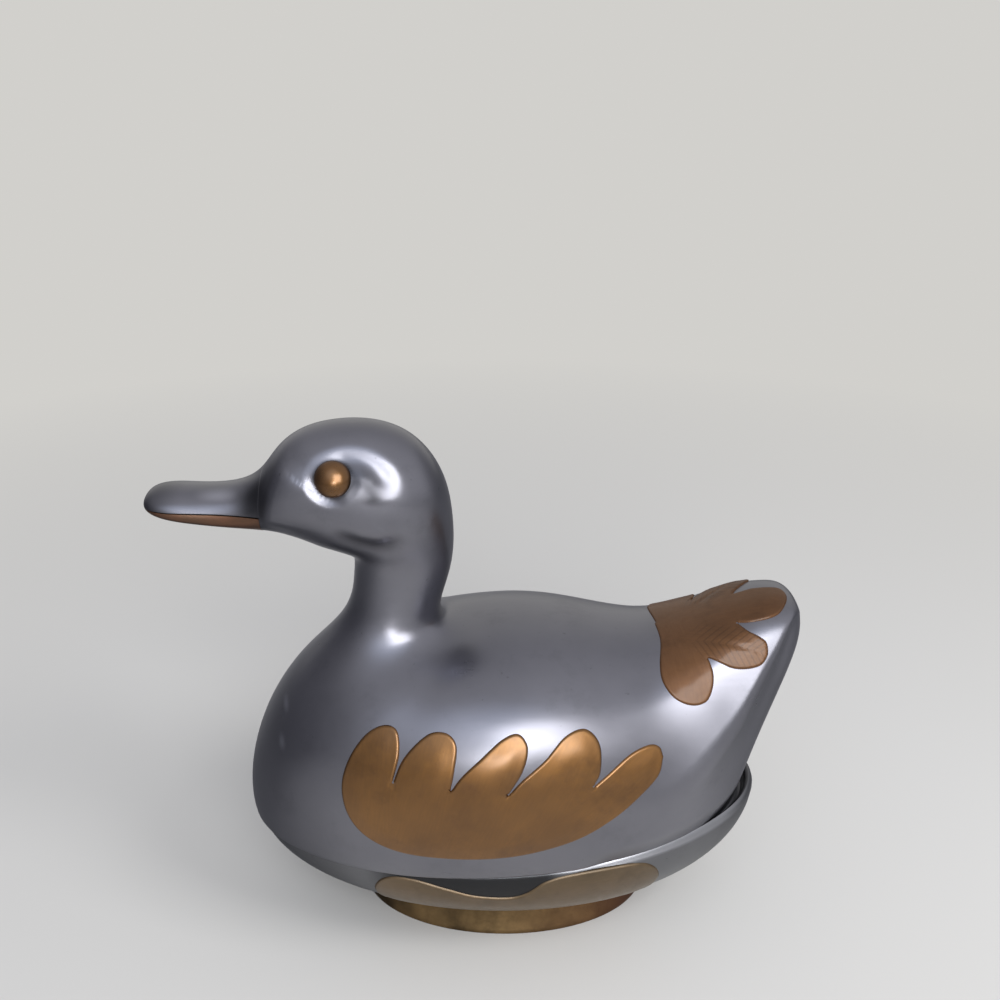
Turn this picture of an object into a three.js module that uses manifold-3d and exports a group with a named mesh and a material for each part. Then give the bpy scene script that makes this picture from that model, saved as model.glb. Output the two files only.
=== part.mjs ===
// Duck trinket dish: an oval pewter dish on a brass foot, with a duck's upper body as its lid.
// Millimetres, +Z up, bill toward -X. The duck's left side lies on the -Y side.
import * as THREE from 'three';
import Module from 'manifold-3d';

// Fits shared by all pieces
const FIT_GAP = 0.3; // gap left for solder or glue between joined pieces
const OVERLAY_THICKNESS = 1.0; // brass sheet laid on the pewter
const REACH = 200; // cutting solids reach this far past the duck

// Foot ring
const FOOT_CENTRE_X = 5.5;
const FOOT_HALF_LENGTH = 33.6;
const FOOT_HALF_WIDTH = 20.9;
const FOOT_HEIGHT = 9.4;
const FOOT_WALL = 2.4;
const FOOT_FLARE = 1.6; // the ring's foot stands out past its top
const FOOT_WAIST = 0.5; // how far the ring's side draws in at half height

// Rim, where lid and dish meet
const RIM_HEIGHT = 25; // at the dish's middle
const RIM_SLOPE = 3.1; // degrees at the dish's middle, rising toward the tail
const RIM_BOW_RADIUS = 680; // the rim's line sweeps up on this radius
const LID_PLAY = 1.2; // between the lid's inside and the bezel

// Dish
const DISH_FLOOR_THICKNESS = 2.2;
const DISH_FOOT_SHOULDER = 0.2; // flat underside outside the foot ring's top
const DISH_SIDE_INSET = 0.4; // the lid overhangs the dish at its sides
const DISH_REAR_LIP = 4.8; // the dish shows behind the lid's tail end
const DISH_FRONT_INSET = 0.6; // the lid overhangs the dish at the breast

// Bezel strip inside the rim
const BEZEL_THICKNESS = 1.2;
const BEZEL_ABOVE = 2.4;
const BEZEL_BELOW = 3.2;

// Wave overlays on the dish: x and share of the wall's sweep, 0 at the floor and 1 at the rim
const WAVE_EDGE = [
  [-26, 0.4],
  [-24, 0.74],
  [-20, 0.93],
  [-14, 0.95],
  [-7, 0.86],
  [-1, 0.77],
  [6, 0.74],
  [10, 0.79],
  [14, 0.92],
  [19, 0.97],
  [28, 0.97],
  [36, 0.92],
  [41, 0.72],
  [43, 0.4],
];
const WAVE_FOOT_SHARE = 0.22; // lower edge of the overlay on the wall

// Lid shell
const TAIL_ROOT = 9; // the station where the back starts to fall toward the tail
const LID_WALL = 1.8;
const LID_GAP = 0.3; // the lid's edge stands this far above the dish's ledge

// Neck joint between lid shell and head
const NECK_ROOT = 18; // the station where the neck leaves the back
const NECK_ROOT_HEIGHT = 4; // the joint's height above that station's back point
const NECK_CUT_X = 2; // the head's cutting box ends here
const SPIGOT_DEPTH = 5;
const SPIGOT_WALL = 1.6;

// Eyes: brass studs set in spot faces on the head
const CROWN_STATION = 27;
const EYE_BELOW_CROWN = 8.2;
const EYE_BEHIND_BILL_TIP = 41.2;
const EYE_RADIUS = 3.8;
const EYE_DOME = 2.2;
const EYE_SEAT = 0.7; // depth of the spot face
const EYE_SHANK_RADIUS = 1.1;
const EYE_SHANK_LENGTH = 3.2;

// Lower bill: the underside of the bill, split off along a sloping line
const BILL_TIP_STATION = 38;
const CHIN_STATION = 31;
const LOWER_BILL_DEPTH = 5.1; // at the chin
const LOWER_BILL_RISE = 0.3; // the split passes this far under the bill tip

// Wing overlays, side view: x and height above the wing's lower edge, five upright feathers
const WING_RISE = 7; // lower edge above the rim's middle height
const WING_LOWER_EDGE = [
  [38.4, 20.4],
  [37.4, 16.8],
  [33.5, 13],
  [28, 8.6],
  [21, 4.4],
  [12, 1.6],
  [3, 0.2],
  [-8, 0],
  [-17, 0.8],
  [-23.5, 3.5],
  [-27.3, 8],
  [-28.5, 14],
  [-27, 20],
  [-23.5, 25.2],
  [-19.5, 27.6],
  [-16.5, 27],
  [-16, 23],
  [-17.4, 17.5],
];
const WING_FEATHERS = [
  [[-15.6, 21.8], [-12.7, 25.3], [-9.4, 27.6], [-6, 27.7], [-4.2, 25.6], [-4.7, 20.9], [-5.5, 17]],
  [[-3.4, 20], [0, 23.3], [4.6, 27.2], [8.2, 28.3], [10.2, 25.8], [9.2, 21.4], [6.3, 16.6]],
  [[9, 19.6], [13.5, 23.3], [17.6, 27.2], [21.9, 28], [24.9, 25], [25.1, 19.7], [23.7, 16.8]],
  [[26.4, 18.8], [31, 22], [35.2, 23.2], [37.6, 22.4]],
];

// Tail fan, seen square to the tail's left shoulder: x and distance down from the ridge height.
// The top lobe crosses the ridge. The fan sits toward the duck's left, as on the photographed one.
const TAIL_VIEW_TILT = 45; // degrees from straight down
const TAIL_RIDGE_HEIGHT = 77; // the height that the distances are measured from
const TAIL_FAN_SHIFT = 6; // the right side's lobes lie this much nearer the ridge
const TAIL_FAN_UNDER = 11.5; // the fan's cutting prisms end this far under the ridge height
const TAIL_SIDE_LOBES = [
  [[38.7, 5], [39.1, 10.2], [38.3, 16.1], [38.5, 19.9], [40.3, 23.1], [42.9, 24.7], [45.6, 25],
    [47.9, 24], [49.1, 21.6], [49.4, 18.9], [48.9, 16.6], [48.4, 15.2]],
  [[51, 16.5], [53.4, 17.5], [56.5, 17.6], [59.4, 16.8], [60.9, 14.8], [60.8, 12.3], [59.4, 11],
    [57, 9.6], [55.2, 7.6]],
];
const TAIL_TOP_LOBE = [
  [57.5, 7.8], [61.3, 7.2], [64, 5.9], [66.2, 2.9], [66.9, 0.5], [66, -1.4], [63.5, -1.9], [60, -1.9],
  [57, -2.4],
];

// The duck's outer surface, slice by slice from tail tip to bill tip. Each row: back point x, z;
// belly point x, z; half width; fullness of the shoulders; lean of the widest point to the belly.
const STATIONS = [
  [70.0, 72.0, 70.0, 72.0, 0.0, 0.0, 0.0],
  [69.7, 76.2, 70.1, 68.6, 5.2, 0.15, -0.05],
  [66.4, 77.9, 68.8, 63.0, 9.0, 0.3, -0.12],
  [61.0, 77.4, 66.4, 54.5, 11.4, 0.34, -0.15],
  [55.0, 75.4, 63.6, 45.5, 13.8, 0.32, -0.14],
  [48.5, 72.5, 60.8, 36.0, 16.6, 0.3, -0.11],
  [42.0, 70.2, 57.8, 26.0, 20.2, 0.26, -0.07],
  [35.0, 69.0, 51.0, 16.5, 24.4, 0.24, -0.03],
  [27.5, 69.8, 37.5, 10.5, 28.8, 0.24, 0.0],
  [19.0, 71.1, 20.0, 9.0, 32.0, 0.25, 0.0],
  [11.5, 71.7, 0.0, 9.0, 33.6, 0.25, 0.0],
  [5.5, 71.6, -22.0, 9.0, 33.0, 0.24, -0.01],
  [1.5, 71.1, -42.0, 11.0, 30.8, 0.15, -0.07],
  [-1.2, 70.6, -52.4, 18.5, 28.4, 0.08, -0.1],
  [-3.4, 70.3, -53.8, 30.0, 26.2, 0.08, -0.08],
  [-5.2, 70.4, -51.8, 41.0, 23.8, 0.1, -0.04],
  [-6.8, 70.9, -47.8, 51.0, 19.8, 0.08, -0.02],
  [-8.0, 72.0, -41.6, 60.0, 14.9, 0.06, 0.0],
  [-8.6, 73.6, -34.6, 67.0, 11.3, 0.04, 0.0],
  [-8.5, 76.2, -29.6, 73.0, 9.7, 0.02, 0.0],
  [-7.3, 80.0, -27.6, 78.2, 9.2, 0.0, 0.0],
  [-5.9, 84.8, -27.1, 82.4, 9.1, 0.0, 0.0],
  [-5.3, 90.2, -26.8, 85.4, 9.4, 0.0, 0.0],
  [-5.5, 96.2, -26.8, 87.3, 10.6, 0.0, 0.0],
  [-6.4, 103.0, -27.6, 88.2, 12.0, 0.03, 0.0],
  [-9.4, 109.6, -29.2, 88.7, 12.9, 0.05, 0.0],
  [-14.6, 114.8, -31.2, 89.3, 13.2, 0.06, 0.0],
  [-21.6, 117.2, -33.6, 90.0, 13.0, 0.06, 0.0],
  [-29.4, 117.2, -36.2, 91.2, 12.3, 0.05, 0.0],
  [-36.4, 115.6, -39.0, 92.2, 11.1, 0.04, 0.0],
  [-41.5, 112.0, -42.0, 93.1, 9.6, 0.03, 0.02],
  [-44.6, 107.2, -44.8, 93.8, 8.2, 0.06, 0.06],
  [-48.0, 104.3, -49.0, 94.6, 7.5, 0.12, 0.12],
  [-52.8, 103.0, -53.6, 95.4, 7.2, 0.18, 0.18],
  [-58.6, 102.7, -58.8, 96.2, 7.3, 0.2, 0.2],
  [-64.2, 103.0, -64.2, 97.1, 7.4, 0.2, 0.2],
  [-68.2, 102.5, -68.0, 97.9, 6.2, 0.16, 0.15],
  [-69.9, 101.2, -69.9, 98.9, 3.9, 0.08, 0.05],
  [-70.0, 100.0, -70.0, 100.0, 0.0, 0.0, 0.0],
];
const LAST_STATION = STATIONS.length - 1;

// Facet counts
const BODY_SIDES = 32;
const RINGS_PER_STATION = 1.25;
const OVAL_SIDES = 48;
const ROUND_SIDES = 16;
const RIM_STEPS = 40;

const wasm = await Module();
wasm.setup();

const PEWTER = new THREE.MeshStandardMaterial({ color: 0x85878f, roughness: 0.32, metalness: 0.95 });
const BRASS = new THREE.MeshStandardMaterial({ color: 0x8a5f33, roughness: 0.4, metalness: 0.9 });
const COPPERY = new THREE.MeshStandardMaterial({ color: 0x96603c, roughness: 0.4, metalness: 0.9 });

// Cutting and joining of closed solids

function solidOf(geometry) {
  const indexed = geometry.index;
  const positions = geometry.attributes.position.array;
  const count = geometry.attributes.position.count;
  const corners = indexed ? indexed.array : Array.from({ length: count }, (_, i) => i);
  const mesh = new wasm.Mesh({
    numProp: 3,
    vertProperties: new Float32Array(positions),
    triVerts: new Uint32Array(corners),
  });
  mesh.merge();
  return new wasm.Manifold(mesh);
}

function geometryOf(solid) {
  const mesh = solid.getMesh();
  const geometry = new THREE.BufferGeometry();
  geometry.setAttribute('position', new THREE.BufferAttribute(mesh.vertProperties, 3));
  geometry.setIndex(new THREE.BufferAttribute(mesh.triVerts, 1));
  geometry.computeVertexNormals();
  return geometry;
}

function piece(name, solid, material) {
  const mesh = new THREE.Mesh(geometryOf(solid), material);
  mesh.name = name;
  return mesh;
}

function mirrored(solid) {
  return solid.mirror([0, 1, 0]);
}

// Smooth surfaces

function stationAt(t) {
  const start = Math.min(Math.floor(t), LAST_STATION - 1);
  const f = t - start;
  const weights = [
    (1 - f) ** 3 / 6,
    (3 * f ** 3 - 6 * f ** 2 + 4) / 6,
    (-3 * f ** 3 + 3 * f ** 2 + 3 * f + 1) / 6,
    f ** 3 / 6,
  ];
  const rows = weights.map((_, k) => stationRow(start + k - 1));
  return rows[0].map((_, column) => weights.reduce((sum, w, k) => sum + w * rows[k][column], 0));
}

// Past both ends the stations go on in a straight line, so the surface ends at the end points.
function stationRow(index) {
  if (index < 0) return STATIONS[0].map((value, column) => 2 * value - STATIONS[1][column]);
  if (index <= LAST_STATION) return STATIONS[index];
  return STATIONS[LAST_STATION].map((value, column) => 2 * value - STATIONS[LAST_STATION - 1][column]);
}

// A point of the duck: station t, angle round the slice (0 back, half turn belly, left side first),
// and how far outside the outer surface it lies.
function bodyPoint(t, angle, grow) {
  const [backX, backZ, bellyX, bellyZ, halfWidth, fullness, lean] = stationAt(t);
  const depth = Math.hypot(bellyX - backX, bellyZ - backZ);
  const stretch = depth > 0 ? grow / depth : 0;
  const share = (1 - Math.cos(angle)) / 2 + lean * Math.sin(angle) ** 2;
  const along = share * (1 + 2 * stretch) - stretch;
  const side = (halfWidth + grow) * Math.sin(angle) * (1 + fullness * Math.cos(angle) ** 2);
  return new THREE.Vector3(backX + (bellyX - backX) * along, -side, backZ + (bellyZ - backZ) * along);
}

function centreOf(points) {
  const sum = points.reduce((total, point) => total.add(point), new THREE.Vector3());
  return sum.divideScalar(points.length);
}

// Closed solid from rings of points, with a pole closing each end. The facets of the second half of
// each ring mirror those of the first.
function loftSolid(rings, startPole, endPole) {
  const sides = rings[0].length;
  const points = [startPole, ...rings.flat(), endPole];
  const corners = [];
  const at = (ring, side) => 1 + ring * sides + (side % sides);
  for (let side = 0; side < sides; side += 1) {
    corners.push(0, at(0, side + 1), at(0, side));
    for (let ring = 0; ring + 1 < rings.length; ring += 1) {
      const [a, b, c, d] = [at(ring, side), at(ring, side + 1), at(ring + 1, side + 1), at(ring + 1, side)];
      if (side < sides / 2) corners.push(a, b, d, b, c, d);
      else corners.push(a, b, c, a, c, d);
    }
    corners.push(points.length - 1, at(rings.length - 1, side), at(rings.length - 1, side + 1));
  }
  return outward(points, corners);
}

function outward(points, corners) {
  let volume = 0;
  for (let i = 0; i < corners.length; i += 3) {
    const [a, b, c] = [points[corners[i]], points[corners[i + 1]], points[corners[i + 2]]];
    volume += a.dot(new THREE.Vector3().crossVectors(b, c));
  }
  if (volume < 0) corners.reverse();
  const geometry = new THREE.BufferGeometry().setFromPoints(points);
  geometry.setIndex(corners);
  return solidOf(geometry);
}

function turn(sides, makePoint) {
  return Array.from({ length: sides }, (_, i) => makePoint((2 * Math.PI * i) / sides));
}

function steps(from, to, count) {
  return Array.from({ length: count + 1 }, (_, i) => from + ((to - from) * i) / count);
}

function stationSteps(from, to) {
  return steps(from, to, Math.ceil((to - from) * RINGS_PER_STATION));
}

function bodySolid(from, to, grow) {
  const stations = stationSteps(from, to);
  let rings = stations.map((t) => turn(BODY_SIDES, (angle) => bodyPoint(t, angle, grow)));
  const poles = [centreOf(rings[0]), centreOf(rings[rings.length - 1])];
  rings = rings.filter((ring) => ring[0].distanceTo(ring[BODY_SIDES / 2]) > FIT_GAP);
  return loftSolid(rings, poles[0], poles[1]);
}

// Closed sheet outside part of the duck, on the facets that the duck's own surface has
function bodySheet(stationFrom, stationTo, angleFrom, angleTo) {
  const stations = stationSteps(0, LAST_STATION).filter((t) => t >= stationFrom && t <= stationTo);
  const angles = steps(-Math.PI, Math.PI, BODY_SIDES).filter((angle) => angle >= angleFrom && angle <= angleTo);
  return sheetSolid(stations, angles, bodyPoint, FIT_GAP, FIT_GAP + OVERLAY_THICKNESS);
}

// Closed sheet over a surface patch, between two distances from the surface
function sheetSolid(columns, rows, surfacePoint, inner, outer) {
  const points = [];
  for (const grow of [outer, inner]) {
    for (const u of columns) {
      for (const v of rows) points.push(surfacePoint(u, v, grow));
    }
  }
  const corners = [];
  const layer = columns.length * rows.length;
  const at = (i, j) => i * rows.length + j;
  const quad = (a, b, c, d) => corners.push(a, b, c, a, c, d);
  const lastColumn = columns.length - 1;
  const lastRow = rows.length - 1;
  for (let i = 0; i < lastColumn; i += 1) {
    for (let j = 0; j < lastRow; j += 1) {
      quad(at(i + 1, j), at(i + 1, j + 1), at(i, j + 1), at(i, j));
      quad(layer + at(i, j + 1), layer + at(i + 1, j + 1), layer + at(i + 1, j), layer + at(i, j));
    }
    quad(at(i, 0), layer + at(i, 0), layer + at(i + 1, 0), at(i + 1, 0));
    quad(at(i, lastRow), at(i + 1, lastRow), layer + at(i + 1, lastRow), layer + at(i, lastRow));
  }
  for (let j = 0; j < lastRow; j += 1) {
    quad(at(0, j), at(0, j + 1), layer + at(0, j + 1), layer + at(0, j));
    quad(at(lastColumn, j), layer + at(lastColumn, j), layer + at(lastColumn, j + 1), at(lastColumn, j + 1));
  }
  return outward(points, corners);
}

// Prism with a side-view outline (x, z), reaching from y = from to y = to
function sidePrism(shape, from, to) {
  const geometry = new THREE.ExtrudeGeometry(shape, { depth: to - from, bevelEnabled: false, curveSegments: 3 });
  geometry.rotateX(Math.PI / 2);
  geometry.translate(0, to, 0);
  return solidOf(geometry);
}

function sideBlock(corners) {
  return sidePrism(new THREE.Shape(corners.map(([x, z]) => new THREE.Vector2(x, z))), -REACH, REACH);
}

function vectors(points, lift) {
  return points.map(([x, z]) => new THREE.Vector2(x, z + lift));
}

// Oval solid from levels: each level has a centre, two half axes and a height for each x
function ovalSolid(levels) {
  const rings = levels.map((level) => turn(OVAL_SIDES, (angle) => ovalPoint(level, angle)));
  return loftSolid(rings, centreOf(rings[0]), centreOf(rings[rings.length - 1]));
}

function ovalPoint(level, angle) {
  const x = level.centreX + level.halfLength * Math.cos(angle);
  const y = level.halfWidth * Math.sin(angle);
  return new THREE.Vector3(x, y, level.heightAt(x));
}

function flatLevel(oval, height) {
  return { ...oval, heightAt: () => height };
}

function lifted(level, rise) {
  return { ...level, heightAt: (x) => level.heightAt(x) + rise };
}

// Side view of the rim's line
function rimHeight(x) {
  const run = x - FOOT_CENTRE_X;
  return RIM_HEIGHT + Math.tan(THREE.MathUtils.degToRad(RIM_SLOPE)) * run + run ** 2 / (2 * RIM_BOW_RADIUS);
}

function rimLevel(oval, rise) {
  return { ...oval, heightAt: (x) => rimHeight(x) + rise };
}

// Front, rear and half width of the duck where a side-view line cuts its surface
function cutExtent(heightAt, grow, from, to) {
  const found = [];
  for (const angle of steps(0, Math.PI, 90)) {
    let before = null;
    for (const t of steps(from, to, 120)) {
      const point = bodyPoint(t, angle, grow);
      const above = point.z - heightAt(point.x);
      if (before && before.above * above < 0) {
        found.push(before.point.clone().lerp(point, before.above / (before.above - above)));
      }
      before = { point, above };
    }
  }
  const front = Math.min(...found.map((point) => point.x));
  const rear = Math.max(...found.map((point) => point.x));
  return { front, rear, halfWidth: Math.max(...found.map((point) => -point.y)) };
}

function ovalBetween(front, rear, halfWidth) {
  return { centreX: (front + rear) / 2, halfLength: (rear - front) / 2, halfWidth };
}

// Ovals of the rim, all measured from the lid's own edge
const INNER_START = 1; // the lid's hollow starts at this station
const NECK_ABOVE = NECK_ROOT + 4; // a station well up the neck
const lidEdge = cutExtent(rimHeight, 0, 0, NECK_ROOT);
const lidInside = cutExtent(rimHeight, -LID_WALL, INNER_START, NECK_ROOT);
const bezelOval = ovalBetween(
  lidInside.front + LID_PLAY,
  lidInside.rear - LID_PLAY,
  lidInside.halfWidth - LID_PLAY,
);
const cavityOval = grownOval(bezelOval, FIT_GAP);
const rimOval = ovalBetween(
  lidEdge.front + DISH_FRONT_INSET,
  lidEdge.rear + DISH_REAR_LIP,
  lidEdge.halfWidth - DISH_SIDE_INSET,
);

function grownOval(oval, grow) {
  return { ...oval, halfLength: oval.halfLength + grow, halfWidth: oval.halfWidth + grow };
}

const footOval = { centreX: FOOT_CENTRE_X, halfLength: FOOT_HALF_LENGTH, halfWidth: FOOT_HALF_WIDTH };
const floorOval = grownOval(footOval, DISH_FOOT_SHOULDER - FOOT_FLARE);

// Bowl wall: a quarter ellipse from the floor's edge up to some way below the rim.
function bowlLevel(floor, floorHeight, rim, drop, share) {
  const swing = (share * Math.PI) / 2;
  const out = Math.sin(swing);
  const up = 1 - Math.cos(swing);
  const mix = (a, b, part) => a + (b - a) * part;
  return {
    centreX: mix(floor.centreX, rim.centreX, out),
    halfLength: mix(floor.halfLength, rim.halfLength, out),
    halfWidth: mix(floor.halfWidth, rim.halfWidth, out),
    heightAt: (x) => mix(floorHeight, rimHeight(x) - drop, up),
  };
}

// The dish's outer wall, or a surface that lies outside it by some distance
function dishWall(share, grow) {
  return bowlLevel(grownOval(floorOval, grow), FOOT_HEIGHT - grow, grownOval(rimOval, grow), 0, share);
}

function makeDish() {
  const ledge = rimLevel(bezelOval, 0);
  const outer = ovalSolid([...steps(0, 1, 8).map((share) => dishWall(share, 0)), ledge]);
  const floorTop = FOOT_HEIGHT + DISH_FLOOR_THICKNESS;
  const cavityFloor = grownOval(floorOval, -DISH_FLOOR_THICKNESS);
  const seatDepth = BEZEL_BELOW + FIT_GAP;
  const cavity = steps(0, 1, 6).map((share) => bowlLevel(cavityFloor, floorTop, cavityOval, seatDepth, share));
  cavity.push(lifted(cavity[cavity.length - 1], seatDepth + LID_PLAY));
  return piece('dish', outer.subtract(ovalSolid(cavity)), PEWTER);
}

function makeFootRing() {
  const band = (inset) => steps(0, 1, 4).map((share) => {
    const drawnIn = FOOT_FLARE * share + FOOT_WAIST * Math.sin(Math.PI * share);
    return flatLevel(grownOval(footOval, -inset - drawnIn), FOOT_HEIGHT * share);
  });
  const bore = band(FOOT_WALL);
  bore.unshift(lifted(bore[0], -FOOT_WALL));
  bore.push(lifted(bore[bore.length - 1], FOOT_WALL));
  return piece('foot_ring', ovalSolid(band(0)).subtract(ovalSolid(bore)), BRASS);
}

function makeBezel() {
  const bore = grownOval(bezelOval, -BEZEL_THICKNESS);
  const band = ovalSolid([rimLevel(bezelOval, -BEZEL_BELOW), rimLevel(bezelOval, BEZEL_ABOVE)]);
  const hole = ovalSolid([rimLevel(bore, -2 * BEZEL_BELOW), rimLevel(bore, 2 * BEZEL_ABOVE)]);
  return piece('lid_bezel', band.subtract(hole), BRASS);
}

function waveSheet() {
  const edge = new THREE.SplineCurve(WAVE_EDGE.map(([x, share]) => new THREE.Vector2(x, share)));
  const columns = steps(0, 1, 2 * (WAVE_EDGE.length - 1)).map((u) => edge.getPoint(u));
  const surface = (top, share, grow) => {
    const level = dishWall(WAVE_FOOT_SHARE + (top.y - WAVE_FOOT_SHARE) * share, grow);
    const angle = -Math.acos((top.x - rimOval.centreX) / rimOval.halfLength);
    return ovalPoint(level, angle);
  };
  return sheetSolid(columns, steps(0, 1, 6), surface, FIT_GAP, FIT_GAP + OVERLAY_THICKNESS);
}

const duck = bodySolid(0, LAST_STATION, 0);
const neckRoot = STATIONS[NECK_ROOT];
const jointHeight = neckRoot[1] + NECK_ROOT_HEIGHT;
const headBlock = sideBlock([
  [-REACH, jointHeight],
  [NECK_CUT_X, jointHeight],
  [NECK_CUT_X, REACH],
  [-REACH, REACH],
]);

function belowRim(rise) {
  const edge = steps(REACH, -REACH, RIM_STEPS).map((x) => [x, rimHeight(x) + rise]);
  return sideBlock([...edge, [-REACH, -REACH], [REACH, -REACH]]);
}

function makeLidShell() {
  const hollow = bodySolid(INNER_START, NECK_ABOVE, -LID_WALL);
  const shell = duck.subtract(hollow).subtract(headBlock).subtract(belowRim(LID_GAP));
  return piece('lid_shell', shell, PEWTER);
}

// The bill's split line, from behind the chin to past the tip
const chin = STATIONS[CHIN_STATION];
const billTip = STATIONS[BILL_TIP_STATION];
const billRun = chin[2] - billTip[2];
const billClimb = billTip[3] - chin[3] - LOWER_BILL_DEPTH - LOWER_BILL_RISE;

function lowerBillBlock(inset) {
  const startX = chin[2] - inset;
  const startZ = chin[3] + LOWER_BILL_DEPTH - inset;
  const reach = 2 * billRun;
  const deep = 3 * LOWER_BILL_DEPTH;
  return sideBlock([
    [startX, startZ],
    [startX - reach, startZ + (billClimb * reach) / billRun],
    [startX - reach, startZ - deep],
    [startX, startZ - deep],
  ]);
}

// The eye's place on the head: surface point and outward direction at a given x and z
function headSurface(x, z) {
  let best = { t: CROWN_STATION, angle: Math.PI / 4 };
  let span = 4;
  for (let round = 0; round < 6; round += 1) {
    const { t: t0, angle: angle0 } = best;
    let least = Infinity;
    for (const t of steps(t0 - span, t0 + span, 12)) {
      for (const angle of steps(angle0 - span / 6, angle0 + span / 6, 12)) {
        const point = bodyPoint(t, angle, 0);
        const miss = Math.hypot(point.x - x, point.z - z);
        if (miss < least) {
          least = miss;
          best = { t, angle };
        }
      }
    }
    span /= 3;
  }
  const small = 0.01;
  const point = bodyPoint(best.t, best.angle, 0);
  const alongBody = bodyPoint(best.t + small, best.angle, 0).sub(point);
  const roundBody = bodyPoint(best.t, best.angle + small, 0).sub(point);
  const normal = new THREE.Vector3().crossVectors(roundBody, alongBody).normalize();
  if (normal.y > 0) normal.negate();
  return { point, normal };
}

const eyePlace = headSurface(
  billTip[0] + EYE_BEHIND_BILL_TIP,
  STATIONS[CROWN_STATION][1] - EYE_BELOW_CROWN,
);

// A turned piece standing on the head at the eye, its profile's heights measured outward
function eyeTurned(profile) {
  const geometry = new THREE.LatheGeometry(profile.map(([r, h]) => new THREE.Vector2(r, h)), ROUND_SIDES);
  geometry.applyQuaternion(new THREE.Quaternion().setFromUnitVectors(new THREE.Vector3(0, 1, 0), eyePlace.normal));
  geometry.translate(eyePlace.point.x, eyePlace.point.y, eyePlace.point.z);
  return solidOf(geometry);
}

const eyeBase = FIT_GAP - EYE_SEAT;

function eyeStud() {
  const dome = steps(0, Math.PI / 2, 6).map((a) => [EYE_RADIUS * Math.cos(a), eyeBase + EYE_DOME * Math.sin(a)]);
  dome[dome.length - 1][0] = 0;
  return eyeTurned([
    [0, eyeBase - EYE_SHANK_LENGTH],
    [EYE_SHANK_RADIUS, eyeBase - EYE_SHANK_LENGTH],
    [EYE_SHANK_RADIUS, eyeBase],
    ...dome,
  ]);
}

function eyeSeat() {
  const seatRadius = EYE_RADIUS + FIT_GAP;
  const holeRadius = EYE_SHANK_RADIUS + FIT_GAP;
  const holeBottom = eyeBase - EYE_SHANK_LENGTH - FIT_GAP;
  return eyeTurned([
    [0, holeBottom],
    [holeRadius, holeBottom],
    [holeRadius, -EYE_SEAT],
    [seatRadius, -EYE_SEAT],
    [seatRadius, EYE_DOME],
    [0, EYE_DOME],
  ]);
}

// The narrowest place inside the neck, from the joint down to the spigot's foot
function neckInside() {
  const heights = steps(jointHeight - SPIGOT_DEPTH, jointHeight, 5);
  const cuts = heights.map((height) => cutExtent(() => height, -LID_WALL, NECK_ROOT - 2, NECK_ABOVE));
  return ovalBetween(
    Math.max(...cuts.map((cut) => cut.front)),
    Math.min(...cuts.map((cut) => cut.rear)),
    Math.min(...cuts.map((cut) => cut.halfWidth)),
  );
}

function makeHeadNeck() {
  const spigotOval = grownOval(neckInside(), -FIT_GAP);
  const boreOval = grownOval(spigotOval, -SPIGOT_WALL);
  const column = (oval, below, above) => ovalSolid([
    flatLevel(oval, jointHeight - below),
    flatLevel(oval, jointHeight + above),
  ]);
  const spigot = column(spigotOval, SPIGOT_DEPTH, SPIGOT_WALL);
  const spigotBore = column(boreOval, 2 * SPIGOT_DEPTH, 2 * SPIGOT_WALL);
  const hollow = bodySolid(NECK_ROOT + 1, CROWN_STATION + 1, -LID_WALL - FIT_GAP - SPIGOT_WALL);
  const hollowAbove = hollow.intersect(headBlock);
  const seat = eyeSeat();
  const head = duck.intersect(headBlock).add(spigot)
    .subtract(spigotBore)
    .subtract(hollowAbove)
    .subtract(lowerBillBlock(0))
    .subtract(seat)
    .subtract(mirrored(seat));
  return piece('head_neck', head, PEWTER);
}

function makeLowerBill() {
  return piece('lower_bill', duck.intersect(lowerBillBlock(FIT_GAP)), COPPERY);
}

function wingSheet() {
  const lift = RIM_HEIGHT + WING_RISE;
  const shape = new THREE.Shape();
  const lower = vectors(WING_LOWER_EDGE, lift);
  shape.moveTo(lower[0].x, lower[0].y);
  shape.splineThru(lower.slice(1));
  for (const feather of WING_FEATHERS) shape.splineThru(vectors(feather, lift));
  shape.closePath();
  const sheet = bodySheet(TAIL_ROOT - 3, NECK_ROOT, 0.15 * Math.PI, 0.85 * Math.PI);
  return sheet.intersect(sidePrism(shape, -REACH, 0));
}

// Prism through the tail's left shoulder, with the lobes moved up toward the ridge by the shift
function tailPrism(lobes, shift) {
  const outline = lobes.map((lobe) => vectors(lobe, -shift));
  const start = outline[0][0];
  const pastRidge = TAIL_TOP_LOBE.at(-1)[1];
  const shape = new THREE.Shape();
  shape.moveTo(start.x, pastRidge);
  shape.lineTo(start.x, start.y);
  shape.splineThru(outline[0].slice(1));
  for (const lobe of outline.slice(1)) shape.splineThru(lobe);
  shape.closePath();
  const geometry = new THREE.ExtrudeGeometry(shape, { depth: REACH, bevelEnabled: false, curveSegments: 3 });
  geometry.translate(0, 0, TAIL_FAN_UNDER - REACH);
  geometry.rotateX(Math.PI + THREE.MathUtils.degToRad(TAIL_VIEW_TILT));
  geometry.translate(0, 0, TAIL_RIDGE_HEIGHT);
  return solidOf(geometry);
}

function makePair(names, solid, material) {
  return [piece(names[0], solid, material), piece(names[1], mirrored(solid), material)];
}

function makeTailFan() {
  const left = tailPrism([...TAIL_SIDE_LOBES, TAIL_TOP_LOBE], 0);
  const right = mirrored(tailPrism(TAIL_SIDE_LOBES, TAIL_FAN_SHIFT));
  const sheet = bodySheet(0.5, TAIL_ROOT, -0.65 * Math.PI, 0.65 * Math.PI);
  return piece('tail_fan', sheet.intersect(left.add(right)), BRASS);
}

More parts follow.
